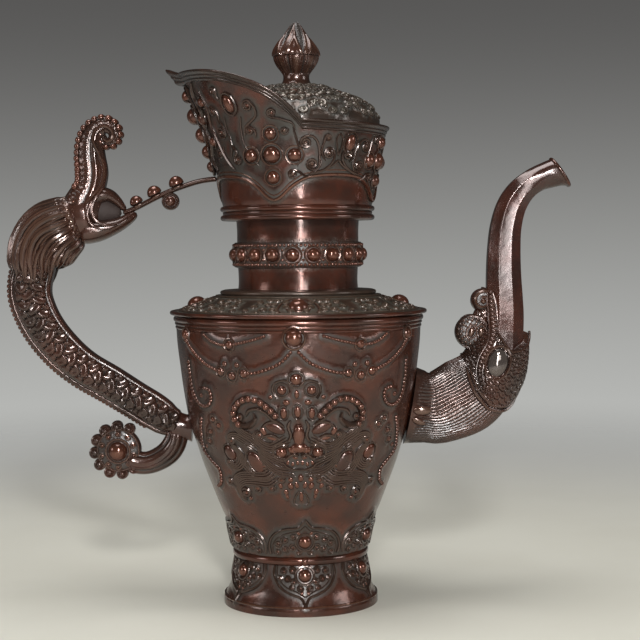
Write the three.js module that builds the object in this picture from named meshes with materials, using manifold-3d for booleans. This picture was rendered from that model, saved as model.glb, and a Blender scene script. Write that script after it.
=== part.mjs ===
// Wine ewer of beaten copper: a tapering vessel on a hollow foot, a beaded neck and a flared collar
// with a raised guard, a loose domed lid, a dragon handle with a strut, and a makara spout.
// Millimetres, +Z up. The spout points along +X, the handle along -X.
import * as THREE from 'three';
import { mergeVertices } from 'three/addons/utils/BufferGeometryUtils.js';
import Module from 'manifold-3d';

const wasm = await Module();
wasm.setup();

// Sheet, clearances and fineness
const sheet = 1.4;            // wall of the raised and spun pieces
const seatGap = 0.3;          // space between a piece and the neighbour that carries it
const lidClearance = 0.8;     // all round the loose lid
const turnedSides = 24;       // sides of each large turned piece
const originShift = 4.5;       // vessel axis to the middle of the whole ewer's length, along X

// Foot and the ring that covers its seam with the vessel
const footHeight = 24.6;
const footLipRadius = 40.1;
const footLipHeight = 2.5;
const footWaistInset = 1.3;   // waist of the foot inside the vessel's bottom edge
const footRestWidth = 3.5;
const seamHeight = 4.8;
const seamReach = 0.7;

// Vessel, the moulding round its mouth and the shoulder plate that closes it
const vesselHeight = 113.8;
const vesselBottomRadius = 34.9;
const vesselTopRadius = 63.3;
const mouthRingHeight = 5.8;
const mouthRingReach = 2.3;
const shoulderLipReach = 3.6;
const shoulderLipHeight = 2.4;
const shoulderRise = 11.3;
const shoulderFlatRadius = 40.5;
const shoulderBossRadius = 5.8;
const shoulderBossHeight = 4.8;
const shoulderBossPlace = 52.7;

// Neck
const neckRadius = 31;
const neckHeight = 38.1;
const neckFlangeHeight = 2.6;
const bandBottom = 14;
const bandHeight = 13.1;
const bandThickness = 1.5;
const bandBeadCount = 20;
const bandBeadRadius = 3.4;

// Collar
const collarBaseReach = 1.4;
const collarBaseHeight = 7.3;
const collarBottomRadius = 38.8;
const collarFlare = 20.4;
const collarLowHeight = 43;
const guardRise = 24.3;
const rimHeight = 4.5;
const rimReach = 3.4;
const beakReach = 6.5;
const beakRise = 2.4;
const apronThickness = 1.2;
const apronGap = 0.5;
const apronEdgeHeight = 13.7;
const apronPointDrop = 11.5;
const apronPointHalfAngle = 24;
const apronCount = 4;
const apronTurn = -107;
const crossHeight = 24.8;     // middle bead of each point's cross, above the collar's bottom

// Lid and finial
const seatHeight = 37.3;
const seatThickness = 2.5;
const seatWidth = 5.5;
const lidFlangeHeight = 1.6;
const lidDomeHeight = 20.9;
const lidSkirtDepth = 9;
const finialFootRadius = 7.8;
const finialNeckRadius = 6.6;
const finialRadius = 12;
const finialCupHeight = 14.6;
const finialBudHeight = 17.8;
const finialPetals = 8;
const finialPinRadius = 2;
const finialPinDepth = 3;     // how far the pin reaches into the bud

// Handle, strut and spout: where each one meets the vessel, and its own parts
const handleHeight = 93;
const ferruleLength = 7.6;
const ferruleRadius = 6.3;
const handleWall = 1.6;
const handleWidth = 18;       // across the handle, at its thickest
const spineHeight = 3.2;
const spineBeads = 24;
const maneThickness = 3.4;
const scrollRadius = 12;
const scrollThickness = 9;
const scrollKnobRadius = 3.1;
const scrollBossRadius = 6;
const strutHeight = 14.6;     // end of the strut above the collar's bottom
const strutThickness = 2.6;
const strutBosses = [[0.2, 3.6], [0.42, 4.1], [0.66, 4.3]];   // share of the way along, radius
const pendantPlace = 0.46;
const pendantRadius = 4.6;
const pendantThickness = 3.6;
const spoutHeight = 101.9;
const spoutWall = 1.5;
const spoutHoleRadius = 11;
const spoutMouthSlant = 34.5;
const crestThickness = 12;
const largeCurlRadius = 8.9;
const smallCurlRadius = 6.3;
const jewelHalfWidth = 4.9;
const jewelHalfHeight = 7.6;
const jewelRise = 2.6;

// Levels, from the table upwards, and the radii that follow from a neighbour's
const seamBottom = footHeight;
const vesselBottom = seamBottom + seamHeight;
const mouthRingBottom = vesselBottom + vesselHeight;
const shoulderBottom = mouthRingBottom + mouthRingHeight;
const neckBottom = shoulderBottom + shoulderRise;
const collarBaseBottom = neckBottom + neckHeight;
const collarBottom = collarBaseBottom + collarBaseHeight;
const seatTop = collarBottom + seatHeight + seatThickness;
const lidBottom = seatTop + seatGap;
const domeTop = lidBottom + lidFlangeHeight + lidDomeHeight;
const seamRadius = vesselBottomRadius + seamReach;
const footWaistRadius = vesselBottomRadius - footWaistInset;
const shoulderLipRadius = vesselTopRadius + shoulderLipReach;
const collarBaseRadius = collarBottomRadius + collarBaseReach;

// Finishes
const brownCopper = { color: 0x4b2a20, roughness: 0.42, metalness: 0.85 };
const redCopper = { color: 0x6d3424, roughness: 0.32, metalness: 0.9 };
const darkCopper = { color: 0x3a2a22, roughness: 0.55, metalness: 0.8 };
const giltCopper = { color: 0x6b5a34, roughness: 0.45, metalness: 0.85 };

// Closed shapes, and joining and cutting them

// Merges shared vertices, drops triangles that have collapsed and turns the faces outwards.
function closed(geometry) {
  const bare = geometry.clone();
  bare.deleteAttribute('normal');
  bare.deleteAttribute('uv');
  const merged = mergeVertices(bare, 1e-4);
  const at = merged.attributes.position;
  const index = merged.index.array;
  const kept = [];
  let volume = 0;
  const a = new THREE.Vector3();
  const b = new THREE.Vector3();
  const c = new THREE.Vector3();
  for (let i = 0; i < index.length; i += 3) {
    const [p, q, r] = [index[i], index[i + 1], index[i + 2]];
    if (p === q || q === r || r === p) continue;
    kept.push([p, q, r]);
    a.fromBufferAttribute(at, p);
    b.fromBufferAttribute(at, q);
    c.fromBufferAttribute(at, r);
    volume += a.dot(b.cross(c)) / 6;
  }
  const outward = volume > 0 ? kept : kept.map(([p, q, r]) => [p, r, q]);
  merged.setIndex(outward.flat());
  return merged;
}

function toManifold(geometry) {
  const whole = closed(geometry);
  return new wasm.Manifold(new wasm.Mesh({
    numProp: 3,
    vertProperties: new Float32Array(whole.attributes.position.array),
    triVerts: new Uint32Array(whole.index.array),
  }));
}

function fromManifold(manifold) {
  const { vertProperties, triVerts } = manifold.getMesh();
  const geometry = new THREE.BufferGeometry();
  geometry.setAttribute('position', new THREE.BufferAttribute(new Float32Array(vertProperties), 3));
  geometry.setIndex(new THREE.BufferAttribute(new Uint32Array(triVerts), 1));
  return geometry;
}

const joined = (...shapes) =>
  fromManifold(shapes.map(toManifold).reduce((whole, next) => whole.add(next)));

const cut = (shape, ...tools) =>
  fromManifold(tools.map(toManifold).reduce((whole, tool) => whole.subtract(tool), toManifold(shape)));

// Turned pieces, spun about Z from [radius, height] points

function turned(profile, sides = turnedSides) {
  const points = profile.map(([radius, height]) => new THREE.Vector2(radius, height));
  return closed(new THREE.LatheGeometry(points, sides).rotateX(Math.PI / 2));
}

const turnedRing = (profile, sides) => turned([...profile, profile[0]], sides);

// A smooth run of count points through [x, y] pairs.
function smooth(pairs, count) {
  const curve = new THREE.SplineCurve(pairs.map(([x, y]) => new THREE.Vector2(x, y)));
  return curve.getPoints(count).map(({ x, y }) => [x, y]);
}

// The height y on a run of [x, y] points at x.
function along(run, x) {
  const next = Math.max(1, run.findIndex(([reached]) => reached >= x));
  const [x0, y0] = run[next - 1];
  const [x1, y1] = run[next];
  return y0 + (y1 - y0) * (x - x0) / (x1 - x0);
}

// A ring whose section, a list of [radius, height], may change with the angle in degrees.
function ringOf(angles, sectionAt) {
  const points = [];
  const index = [];
  const sections = angles.map(sectionAt);
  const sides = sections[0].length;
  sections.forEach((section, i) => {
    const turn = THREE.MathUtils.degToRad(angles[i]);
    const next = (i + 1) % angles.length;
    section.forEach(([radius, height], j) => {
      points.push(radius * Math.cos(turn), radius * Math.sin(turn), height);
      const over = (j + 1) % sides;
      const corners = [i * sides + j, i * sides + over, next * sides + over, next * sides + j];
      index.push(corners[0], corners[1], corners[2], corners[0], corners[2], corners[3]);
    });
  });
  const geometry = new THREE.BufferGeometry();
  geometry.setAttribute('position', new THREE.Float32BufferAttribute(points, 3));
  geometry.setIndex(index);
  return closed(geometry);
}

const evenAngles = (count, start = 0) => Array.from({ length: count }, (_, i) => start + i * 360 / count);

// Swept pieces in the plane of the handle and spout

const plainSection = (t, wide, deep) => ({ wide, deep });

// A key is [x, z, half width, half depth, y]. The curve through the keys is cut into steps, and each
// step gets one section. shape changes a section's half width and half depth, or moves it aside. reach
// lengthens the start and the end.
function swept(keys, options = {}) {
  const { sides = 10, steps = 16, flats = false, grow = 0 } = options;
  const { reach = [0, 0], from = 0, to = 1, shape = plainSection } = options;
  const path = new THREE.CatmullRomCurve3(keys.map(([x, z, , , y = 0]) => new THREE.Vector3(x, y, z)));
  const sizes = new THREE.CatmullRomCurve3(keys.map(([, , wide, deep]) => new THREE.Vector3(wide, deep, 0)));
  const lateral = new THREE.Vector3(0, 1, 0);
  const spread = flats ? 1 / Math.cos(Math.PI / sides) : 1;
  const points = [];
  const index = [];
  for (let step = 0; step <= steps; step += 1) {
    const t = from + (to - from) * step / steps;
    const tangent = path.getTangent(t);
    const depthways = lateral.clone().addScaledVector(tangent, -lateral.dot(tangent)).normalize();
    const widthways = new THREE.Vector3().crossVectors(depthways, tangent);
    const size = sizes.getPoint(t);
    const section = { wide: size.x, deep: size.y, aside: 0, ...shape(t, size.x, size.y) };
    const centre = path.getPoint(t).addScaledVector(widthways, section.aside);
    if (step === 0) centre.addScaledVector(tangent, -reach[0]);
    if (step === steps) centre.addScaledVector(tangent, reach[1]);
    for (let side = 0; side < sides; side += 1) {
      const turn = 2 * Math.PI * (side + 0.5) / sides;
      const point = centre.clone()
        .addScaledVector(widthways, Math.cos(turn) * (section.wide + grow) * spread)
        .addScaledVector(depthways, Math.sin(turn) * (section.deep + grow) * spread);
      points.push(point.x, point.y, point.z);
      if (step === steps) continue;
      const base = step * sides;
      const over = (side + 1) % sides;
      index.push(base + side, base + over, base + sides + over);
      index.push(base + side, base + sides + over, base + sides + side);
    }
  }
  for (let side = 1; side < sides - 1; side += 1) {
    index.push(0, side + 1, side);
    index.push(steps * sides, steps * sides + side, steps * sides + side + 1);
  }
  const geometry = new THREE.BufferGeometry();
  geometry.setAttribute('position', new THREE.Float32BufferAttribute(points, 3));
  geometry.setIndex(index);
  return closed(geometry);
}

const movedKeys = (keys, [x, z]) => keys.map(([dx, dz, ...rest]) => [x + dx, z + dz, ...rest]);

// A round disc or oval lying in the plane of the handle and spout.
function disc([x, z], radius, thickness, sides = 14) {
  return closed(new THREE.CylinderGeometry(radius, radius, thickness, sides).translate(x, 0, z));
}

// A dome standing on the plane at height base, pointing along +Z.
function dome(radius, rise, sides = 12) {
  const arc = [[radius, 0], [radius * 0.92, rise * 0.45], [radius * 0.6, rise * 0.84], [0, rise]];
  return turned([[0, 0], ...arc], sides);
}

// A smaller bead with fewer faces, sunk a little way into the piece that carries it.
const bead = (radius, rise) => turned([[0, 0], [radius, 0], [radius * 0.8, rise * 0.72], [0, rise]], 6);

// Stands a shape that points along +Z on a turned wall, leaning out by lean radians from level.
function onWall(shape, radius, height, angle, lean = 0) {
  return shape
    .rotateY(Math.PI / 2 + lean)
    .translate(radius, 0, height)
    .rotateZ(THREE.MathUtils.degToRad(angle));
}

// The vessel's outer wall: shares of its height and of the spread between its two radii.
const vesselSwell = [
  [0, 0], [0.126, 0.127], [0.287, 0.387], [0.471, 0.644], [0.655, 0.838], [0.838, 0.94], [1, 1],
];
const vesselWall = smooth(vesselSwell, 7).map(([up, out]) => [
  vesselBottom + up * vesselHeight,
  vesselBottomRadius + out * (vesselTopRadius - vesselBottomRadius),
]);
const vesselRadius = (height) => along(vesselWall, height);

// The vessel's outside made larger by grow, to cut what is soldered to it.
const vesselTool = (grow) => turned([
  [0, vesselBottom - grow],
  ...vesselWall.map(([height, radius]) => [radius + grow, height]),
  [0, mouthRingBottom],
]);

// The collar's outer wall: shares of its full height and of its flare.
const collarFullHeight = collarLowHeight + guardRise;
const collarSwell = [
  [0, 0], [0.15, 0.03], [0.27, 0.1], [0.51, 0.255], [0.64, 0.39], [0.743, 0.53], [0.89, 0.775], [1, 1],
];
const collarWallRun = smooth(collarSwell, 14).map(([up, out]) => [
  collarBottom + up * collarFullHeight,
  collarBottomRadius + out * collarFlare,
]);
const collarRadius = (height) => along(collarWallRun, height);
const collarLean = (height) => Math.atan(collarRadius(height + 1) - collarRadius(height));

// The rim is level on the spout's half and rises in a curve to the guard over the handle.
function rimTop(angle) {
  const fromSpout = Math.abs(THREE.MathUtils.euclideanModulo(angle + 180, 360) - 180);
  const climb = Math.max(0, fromSpout / 90 - 1);
  return collarBottom + collarLowHeight + guardRise * (1 - (1 - climb) ** 3.8);
}

// Foot, vessel and shoulder

function footRing() {
  const rise = footHeight - footLipHeight;
  const flare = footLipRadius - footWaistRadius;
  const flank = [1, 0.46, 0.14, 0].map((out, i) => [
    footWaistRadius - 0.4 + out * flare,
    footLipHeight + 1.2 + (rise - 1.2) * i / 3,
  ]);
  const inside = flank.map(([radius, height]) => [radius - sheet, height]).reverse();
  const lip = [
    [footLipRadius - 0.5, 0], [footLipRadius, footLipHeight * 0.5], [footLipRadius - 0.1, footLipHeight],
  ];
  return turnedRing([[footLipRadius - footRestWidth, 0], ...lip, ...flank, ...inside]);
}

function footSeamRing() {
  const inner = footWaistRadius - sheet - 0.6;
  const edge = seamRadius - 1.5;
  return turnedRing([
    [inner, seamBottom], [edge, seamBottom], [seamRadius - 0.4, seamBottom + seamHeight * 0.22],
    [seamRadius, seamBottom + seamHeight * 0.5], [seamRadius - 0.4, seamBottom + seamHeight * 0.78],
    [edge, vesselBottom], [inner, vesselBottom],
  ]);
}

function vesselFloor() {
  const radius = vesselBottomRadius - sheet - seatGap;
  const top = vesselBottom + sheet;
  return turned([[0, vesselBottom], [radius, vesselBottom], [radius, top], [0, top]]);
}

function vesselBody() {
  const outside = vesselWall.map(([height, radius]) => [radius, height]);
  const inside = outside.map(([radius, height]) => [radius - sheet, height]).reverse();
  const hole = new THREE.CylinderGeometry(spoutHoleRadius, spoutHoleRadius, vesselTopRadius, 14)
    .rotateZ(Math.PI / 2)
    .translate(vesselTopRadius, 0, spoutHeight);
  return cut(turnedRing([...outside, ...inside]), hole);
}

function mouthRing() {
  const base = mouthRingBottom;
  const inner = vesselTopRadius - sheet;
  const outer = vesselTopRadius + mouthRingReach;
  const step = vesselTopRadius + 0.8;
  return turnedRing([
    [inner, base], [step - 0.5, base], [step, base + 0.9], [step - 0.5, base + mouthRingHeight * 0.36],
    [outer, base + mouthRingHeight * 0.42], [outer, base + mouthRingHeight * 0.82],
    [outer - 1, base + mouthRingHeight], [inner, base + mouthRingHeight],
  ]);
}

const shoulderSlope = [
  [shoulderLipRadius, shoulderBottom + shoulderLipHeight],
  [shoulderFlatRadius, neckBottom],
];

function shoulderPlate() {
  const [[lipRadius, lipTop], [flatRadius, top]] = shoulderSlope;
  const inner = neckRadius - sheet;
  return turnedRing([
    [vesselTopRadius - sheet, shoulderBottom], [lipRadius - 0.8, shoulderBottom], [lipRadius, lipTop - 0.5],
    [lipRadius - 0.8, lipTop], [flatRadius, top], [inner, top], [inner, top - sheet],
    [flatRadius - 0.4, top - sheet], [vesselTopRadius - sheet, lipTop - sheet + 1],
  ]);
}

function shoulderBoss(angle) {
  const [[lipRadius, lipTop], [flatRadius, top]] = shoulderSlope;
  const lean = Math.atan2(top - lipTop, lipRadius - flatRadius);
  const height = top - (shoulderBossPlace - flatRadius) * Math.tan(lean);
  return dome(shoulderBossRadius, shoulderBossHeight)
    .translate(0, 0, seatGap)
    .rotateY(lean)
    .translate(shoulderBossPlace, 0, height)
    .rotateZ(THREE.MathUtils.degToRad(angle));
}

// Neck and collar

function neckFlange() {
  const inner = neckRadius + seatGap;
  const top = neckBottom + neckFlangeHeight;
  return turnedRing([
    [inner, neckBottom], [shoulderFlatRadius, neckBottom], [shoulderFlatRadius, top - 0.6],
    [shoulderFlatRadius - 0.6, top], [inner, top],
  ]);
}

function neckTube() {
  const inner = neckRadius - sheet;
  return turnedRing([
    [inner, neckBottom], [neckRadius, neckBottom], [neckRadius, collarBaseBottom], [inner, collarBaseBottom],
  ]);
}

function neckBand() {
  const base = neckBottom + bandBottom;
  const inner = neckRadius + seatGap;
  const face = inner + bandThickness;
  const edge = face + 0.7;
  const strip = turnedRing([
    [inner, base], [edge, base], [edge, base + 1.8], [face, base + 2.2],
    [face, base + bandHeight - 2.2], [edge, base + bandHeight - 1.8], [edge, base + bandHeight],
    [inner, base + bandHeight],
  ]);
  const middle = base + bandHeight / 2;
  const beads = evenAngles(bandBeadCount, 360 / turnedSides / 2)
    .map((angle) => onWall(bead(bandBeadRadius, 2.6), face - 0.6, middle, angle));
  return joined(strip, ...beads);
}

function collarBaseRing() {
  const inner = neckRadius - sheet;
  const base = collarBaseBottom;
  const waist = collarBaseRadius - 1.2;
  return turnedRing([
    [inner, base], [collarBaseRadius - 0.8, base], [collarBaseRadius, base + 0.9],
    [collarBaseRadius, base + collarBaseHeight * 0.4], [waist, base + collarBaseHeight * 0.52],
    [waist, base + collarBaseHeight * 0.72], [collarBaseRadius - 0.5, base + collarBaseHeight * 0.8],
    [collarBaseRadius - 0.5, collarBottom], [inner, collarBottom],
  ]);
}

function collarWall() {
  const rows = 5;
  return ringOf(evenAngles(turnedSides), (angle) => {
    const top = rimTop(angle) - rimHeight;
    const outside = Array.from({ length: rows + 1 }, (_, i) => {
      const height = collarBottom + (top - collarBottom) * i / rows;
      return [collarRadius(height), height];
    });
    const inside = outside.map(([radius, height]) => [radius - sheet, height]).reverse();
    return [...outside, ...inside];
  });
}

function collarRim() {
  const beakHalfAngle = 5;
  const angles = [...evenAngles(turnedSides), 180 - beakHalfAngle, 180 + beakHalfAngle].sort((a, b) => a - b);
  return ringOf(angles, (angle) => {
    const top = rimTop(angle);
    const bottom = top - rimHeight + seatGap;
    const point = angle === 180 ? 1 : 0;
    const low = collarRadius(bottom);
    const high = collarRadius(top);
    return [
      [low - sheet, bottom],
      [low + 0.9, bottom],
      [low + 1.4, bottom + rimHeight * 0.28],
      [high + 1.2, bottom + rimHeight * 0.5],
      [high + rimReach + point * beakReach, top - 0.9 + point * beakRise],
      [high + rimReach - 0.6 + point * beakReach, top + point * beakRise],
      [high - sheet, top],
    ];
  });
}

// A sleeve of raised work round the collar, whose lower edge drops to a point four times. Each point
// carries a cross of five beads.
function collarApron() {
  const spacing = 360 / apronCount;
  const bottomAt = (angle) => {
    const turn = angle - apronTurn + spacing / 2;
    const off = Math.abs(THREE.MathUtils.euclideanModulo(turn, spacing) - spacing / 2);
    const dip = Math.max(0, 1 - off / apronPointHalfAngle) ** 1.6;
    return collarBottom + apronEdgeHeight - apronPointDrop * dip;
  };
  const rows = 2;
  const angles = [...evenAngles(36, apronTurn), -90, 90].sort((a, b) => a - b);
  const inside = apronGap;
  const outside = apronGap + apronThickness;
  const sleeve = ringOf(angles, (angle) => {
    const bottom = bottomAt(angle);
    const top = rimTop(angle) - rimHeight - 1.6;
    const heights = Array.from({ length: rows + 1 }, (_, i) => bottom + (top - bottom) * i / rows);
    return [
      ...heights.map((height) => [collarRadius(height) + outside, height]),
      ...heights.map((height) => [collarRadius(height) + inside, height]).reverse(),
    ];
  });
  const middle = collarBottom + crossHeight;
  const cross = [[0, 0, 4.6], [0, 9.9, 3.3], [0, -11.4, 3.6], [-11.2, 0, 3.3], [11.6, 0, 3.8]];
  const crossAt = (turn) => cross.map(([across, up, radius]) => {
    const height = middle + up;
    const out = collarRadius(height) + apronGap + apronThickness * 0.6;
    const angle = turn + THREE.MathUtils.radToDeg(across / out);
    return onWall(bead(radius, radius * 0.9), out, height, angle, collarLean(height));
  });
  const beads = evenAngles(apronCount, apronTurn).flatMap(crossAt);
  return joined(sleeve, ...beads);
}

// Lid

const lidRadius = collarRadius(lidBottom) - sheet - lidClearance;
const skirtRadius = collarRadius(seatTop - seatThickness) - sheet - seatWidth - lidClearance;

function lidSeat() {
  const low = seatTop - seatThickness;
  const inner = skirtRadius + lidClearance;
  const outer = collarRadius(low) - sheet - seatGap;
  return turnedRing([[inner, low], [outer, low], [outer, seatTop], [inner, seatTop]]);
}

const domeFace = smooth([[1, 0], [0.945, 0.24], [0.87, 0.46], [0.56, 0.74], [0.34, 0.92], [0.18, 1]], 5)
  .map(([out, up]) => [out * (lidRadius - 0.6), lidBottom + lidFlangeHeight + up * lidDomeHeight]);

function lidDome() {
  const hole = finialPinRadius + seatGap;
  const underneath = domeFace
    .map(([radius, height]) => [radius - sheet * 0.7, height - sheet * 0.8])
    .filter((point, i) => i > 0 && i % 2 === 0)
    .reverse();
  return turnedRing([
    [lidRadius, lidBottom], [lidRadius, lidBottom + lidFlangeHeight], ...domeFace,
    [hole, domeTop], [hole, domeTop - sheet], ...underneath,
    [lidRadius - 3, lidBottom + 1], [skirtRadius - sheet, lidBottom + 1], [skirtRadius - sheet, lidBottom],
  ]);
}

function lidSkirt() {
  const top = lidBottom;
  const bottom = top - lidSkirtDepth;
  const inner = skirtRadius - sheet;
  return turnedRing([
    [inner, bottom], [skirtRadius - 0.5, bottom], [skirtRadius, bottom + 1], [skirtRadius, top], [inner, top],
  ]);
}

// Petals swell the finial between grooves, by a share of its radius.
function petalled(rows, depth) {
  const sides = finialPetals * 3;
  const pin = finialPinRadius + seatGap;
  return ringOf(evenAngles(sides), (angle) => {
    const wave = Math.abs(Math.cos(THREE.MathUtils.degToRad(angle * finialPetals / 2)));
    const outside = rows.map(([radius, height, share]) =>
      [radius * (1 - depth * share * (1 - wave)), height]);
    const top = rows[rows.length - 1][1];
    return [...outside, [pin, top], [pin, rows[0][1]]];
  });
}

function finialCup() {
  const rows = [
    [finialFootRadius, 0, 0], [finialNeckRadius, 0.22, 0], [finialNeckRadius + 0.3, 0.36, 0.3],
    [finialRadius * 0.86, 0.66, 1], [finialRadius, 1, 1],
  ].map(([radius, up, share]) => [radius, domeTop + up * finialCupHeight, share]);
  return petalled(rows, 0.12);
}

function finialBud() {
  const base = domeTop + finialCupHeight;
  const rows = [[0.95, 0], [0.9, 0.1], [0.66, 0.42], [0.34, 0.76], [0, 1]]
    .map(([share, up]) => [share * finialRadius, base + up * finialBudHeight]);
  const cone = turned([[0, base], ...rows], finialPetals * 2);
  const bore = finialPinRadius + seatGap;
  const socket = new THREE.CylinderGeometry(bore, bore, 2 * (finialPinDepth + seatGap), 8)
    .rotateX(Math.PI / 2)
    .translate(0, 0, base);
  return cut(cone, socket);
}

function finialPin() {
  const head = domeTop - sheet - seatGap;
  const top = domeTop + finialCupHeight + finialPinDepth;
  return turned([
    [0, head - 1.6], [3, head - 1.6], [4.2, head - 0.8], [4.2, head], [finialPinRadius, head],
    [finialPinRadius, top], [0, top],
  ], 10);
}

// Handle, drawn from the point where its body meets the ferrule

const handleRoot = [-(vesselRadius(handleHeight) + ferruleLength), handleHeight];
const spoutRoot = [vesselRadius(spoutHeight), spoutHeight];

const handleKeys = movedKeys([
  [0, 0, 6.3, 6], [-5.2, 2.1, 8.9, 7.2], [-12.4, 6.8, 9.9, 8], [-22.2, 13, 9.9, 8.4],
  [-34.6, 20.9, 10.2, 8.6], [-48.3, 29.2, 10.4, 8.8], [-59.3, 38.8, 10.9, 9], [-68.5, 50.5, 11.2, 9.2],
  [-74.1, 62.5, 11.5, 9.4], [-75.5, 71.9, 11.7, 9.5], [-73.2, 83.3, 11.6, 9.5], [-68.4, 94.8, 10.6, 9.3],
  [-60.9, 104.2, 9.9, 9], [-55.2, 107.6, 9.4, 8.8],
], handleRoot);

const spineEnds = [0.3, 0.8];
const handleShape = (t, wide) => ({ wide: wide - spineHeight / 2, aside: spineHeight / 2 });
const spineShape = (t, wide) => ({
  wide: spineHeight / 2,
  deep: spineHeight * 0.75,
  aside: spineHeight / 2 - wide - seatGap,
});

// The handle's body runs into the ferrule by reach[0], and is cut off there.
function handleBody(grow = 0, reach = [3, 0]) {
  return swept(handleKeys, { sides: 8, steps: 16, grow, reach, shape: handleShape });
}

// Everything on the vessel's side of the ferrule's outer end.
function ferruleSide() {
  const [x, z] = handleRoot;
  const side = 2 * (ferruleLength + handleWidth);
  return new THREE.BoxGeometry(side, side, 2 * side).translate(x + side / 2 - seatGap, 0, z);
}

function handleShell() {
  return cut(handleBody(), handleBody(-handleWall, [3, 2]), ferruleSide());
}

// The spine lies against the outer edge of the handle and swells into a row of beads.
function handleSpine(grow = 0) {
  const steps = spineBeads * 2;
  const [from, to] = spineEnds;
  return swept(handleKeys, {
    sides: 5,
    steps,
    grow,
    from,
    to,
    shape: (t, wide) => {
      const section = spineShape(t, wide);
      const swell = Math.round((t - from) / (to - from) * steps) % 2 ? 1 : 0.72;
      return { ...section, wide: section.wide * swell, deep: section.deep * swell };
    },
  });
}

function handleFerrule() {
  const [x, z] = handleRoot;
  const keys = [
    [x, z, ferruleRadius, ferruleRadius], [x + 2.5, z, ferruleRadius * 0.94, ferruleRadius * 0.94],
    [x + ferruleLength * 0.75, z, ferruleRadius, ferruleRadius],
    [x + ferruleLength + 4, z, ferruleRadius + 2.4, ferruleRadius + 2.4],
  ];
  return cut(swept(keys, { sides: 12, steps: 5 }), vesselTool(seatGap));
}

// The dragon's head is drawn from the same point: its skull, lower jaw, upper fang and raised trunk
const skullKeys = movedKeys([
  [-55.7, 107.8, 9.4, 8.8], [-49.4, 109.4, 11.4, 10.4], [-43.1, 110.4, 11.4, 10.6], [-36.9, 112.5, 8.6, 9],
], handleRoot);
const jawKeys = movedKeys([
  [-47, 101.5, 6.8, 9], [-37, 102.1, 5.2, 8.4], [-28.6, 104.7, 3.6, 6.8], [-22.3, 108.3, 2.6, 4.8],
  [-19.2, 110.4, 1.6, 2.6],
], handleRoot);
const fangKeys = movedKeys([
  [-40, 118.5, 5, 7.6], [-34, 119.2, 3.8, 6.2], [-29.5, 116, 2.4, 4], [-25.4, 111.8, 1, 1.6],
], handleRoot);
const trunkKeys = movedKeys([
  [-43.1, 112.5, 8.3, 8], [-41.4, 121.9, 7.8, 7.6], [-41.8, 130.2, 8.9, 7], [-42.7, 139, 7.8, 6.4],
  [-42.6, 146.8, 6.8, 5.8], [-40.4, 152.6, 5.5, 5.2], [-35.2, 155.8, 4.4, 4.8], [-30.4, 153.6, 4, 4.4],
  [-28.7, 149.8, 3.6, 4], [-31.1, 146.3, 2.8, 3.6], [-34.1, 147.6, 2, 3],
], handleRoot);

const [mouthCentre] = movedKeys([[-34.4, 110.6]], handleRoot);
const mouthRadius = 5.2;

// The head, with its mouth open right through.
function dragonHead(grow = 0) {
  const mouth = disc(mouthCentre, mouthRadius, 2 * handleWidth, 12);
  const whole = joined(
    swept(skullKeys, { sides: 8, steps: 5, grow }),
    swept(jawKeys, { sides: 8, steps: 6, grow }),
    swept(fangKeys, { sides: 6, steps: 4, grow }),
  );
  return grow > 0 ? whole : cut(whole, mouth, handleBody(seatGap, [3, seatGap]));
}

function dragonTrunk() {
  return cut(swept(trunkKeys, { sides: 8, steps: 16, from: 0.1 }), dragonHead(seatGap));
}

// Locks of the mane sweep back from the skull, past the handle's outer edge and down both its sides.
// Each lock is [x, z] at five places, then its half width, half depth and distance from the middle plane.
const maneLocks = [
  [[[-55.5, 114.6], [-68, 112], [-78.6, 104.6], [-81.4, 94.8], [-81, 84]], 4.6, 4.4, 0],
  [[[-55.2, 110.8], [-66.6, 108.3], [-75.6, 100], [-78.8, 90], [-79.4, 77.4]], 4.4, 4, 6.4],
  [[[-53.7, 104.2], [-62.6, 100.5], [-69.5, 92.7], [-73.6, 83.3], [-74.3, 72.6]], 4.4, 3.8, 9.4],
  [[[-52.2, 98.6], [-59, 94.3], [-64.8, 87.5], [-68.1, 79.2], [-69.3, 70.8]], 4, 3.6, 9],
  [[[-50.6, 95.2], [-54.4, 90.4], [-58.6, 84.6], [-62.6, 79], [-64.6, 73]], 3.4, 3.2, 5.4],
];

function dragonMane() {
  const swell = [0.7, 1, 1, 0.8, 0.3];
  const locks = maneLocks.flatMap(([places, wide, deep, out]) => (out ? [out, -out] : [0]).map((y) => {
    const keys = places.map(([x, z], i) => [x, z, wide * swell[i], deep * swell[i], y * (i ? 1 : 0.85)]);
    return swept(movedKeys(keys, handleRoot), { sides: 5, steps: 4 });
  }));
  const sleeve = swept(handleKeys, { sides: 8, steps: 3, grow: maneThickness, from: 0.8, to: 0.985 });
  const hair = joined(sleeve, ...locks);
  return cut(hair, handleBody(seatGap, [3, 6]), handleSpine(seatGap), dragonHead(seatGap));
}

const [scrollCentre] = movedKeys([[-30.4, -13]], handleRoot);
const scrollKeys = movedKeys([
  [-1.6, -3, 5.4, 5], [-1.2, -11, 6.2, 5], [-7, -16.9, 6.2, 4.8], [-14.3, -20, 5.8, 4.6],
  [-22, -19, 6.2, 4.4], [-27, -14.8, 7, 4.2],
], handleRoot);
const knobPlaces = movedKeys([
  [-29.2, 0], [-22.6, -3.6], [-38, -1], [-43.9, -7.8], [-43.9, -14.2], [-39.9, -20.8], [-32.7, -24.9],
], handleRoot);

// The tail below the ferrule curls into a knobbed scroll.
function tailScroll() {
  const plate = disc(scrollCentre, scrollRadius, scrollThickness, 14);
  const knobs = knobPlaces.map((place) => disc(place, scrollKnobRadius, scrollThickness - 1.5, 8));
  return cut(
    joined(swept(scrollKeys, { sides: 8, steps: 8 }), plate, ...knobs),
    handleBody(seatGap),
    handleSpine(seatGap),
    ferruleSide(),
  );
}

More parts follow.
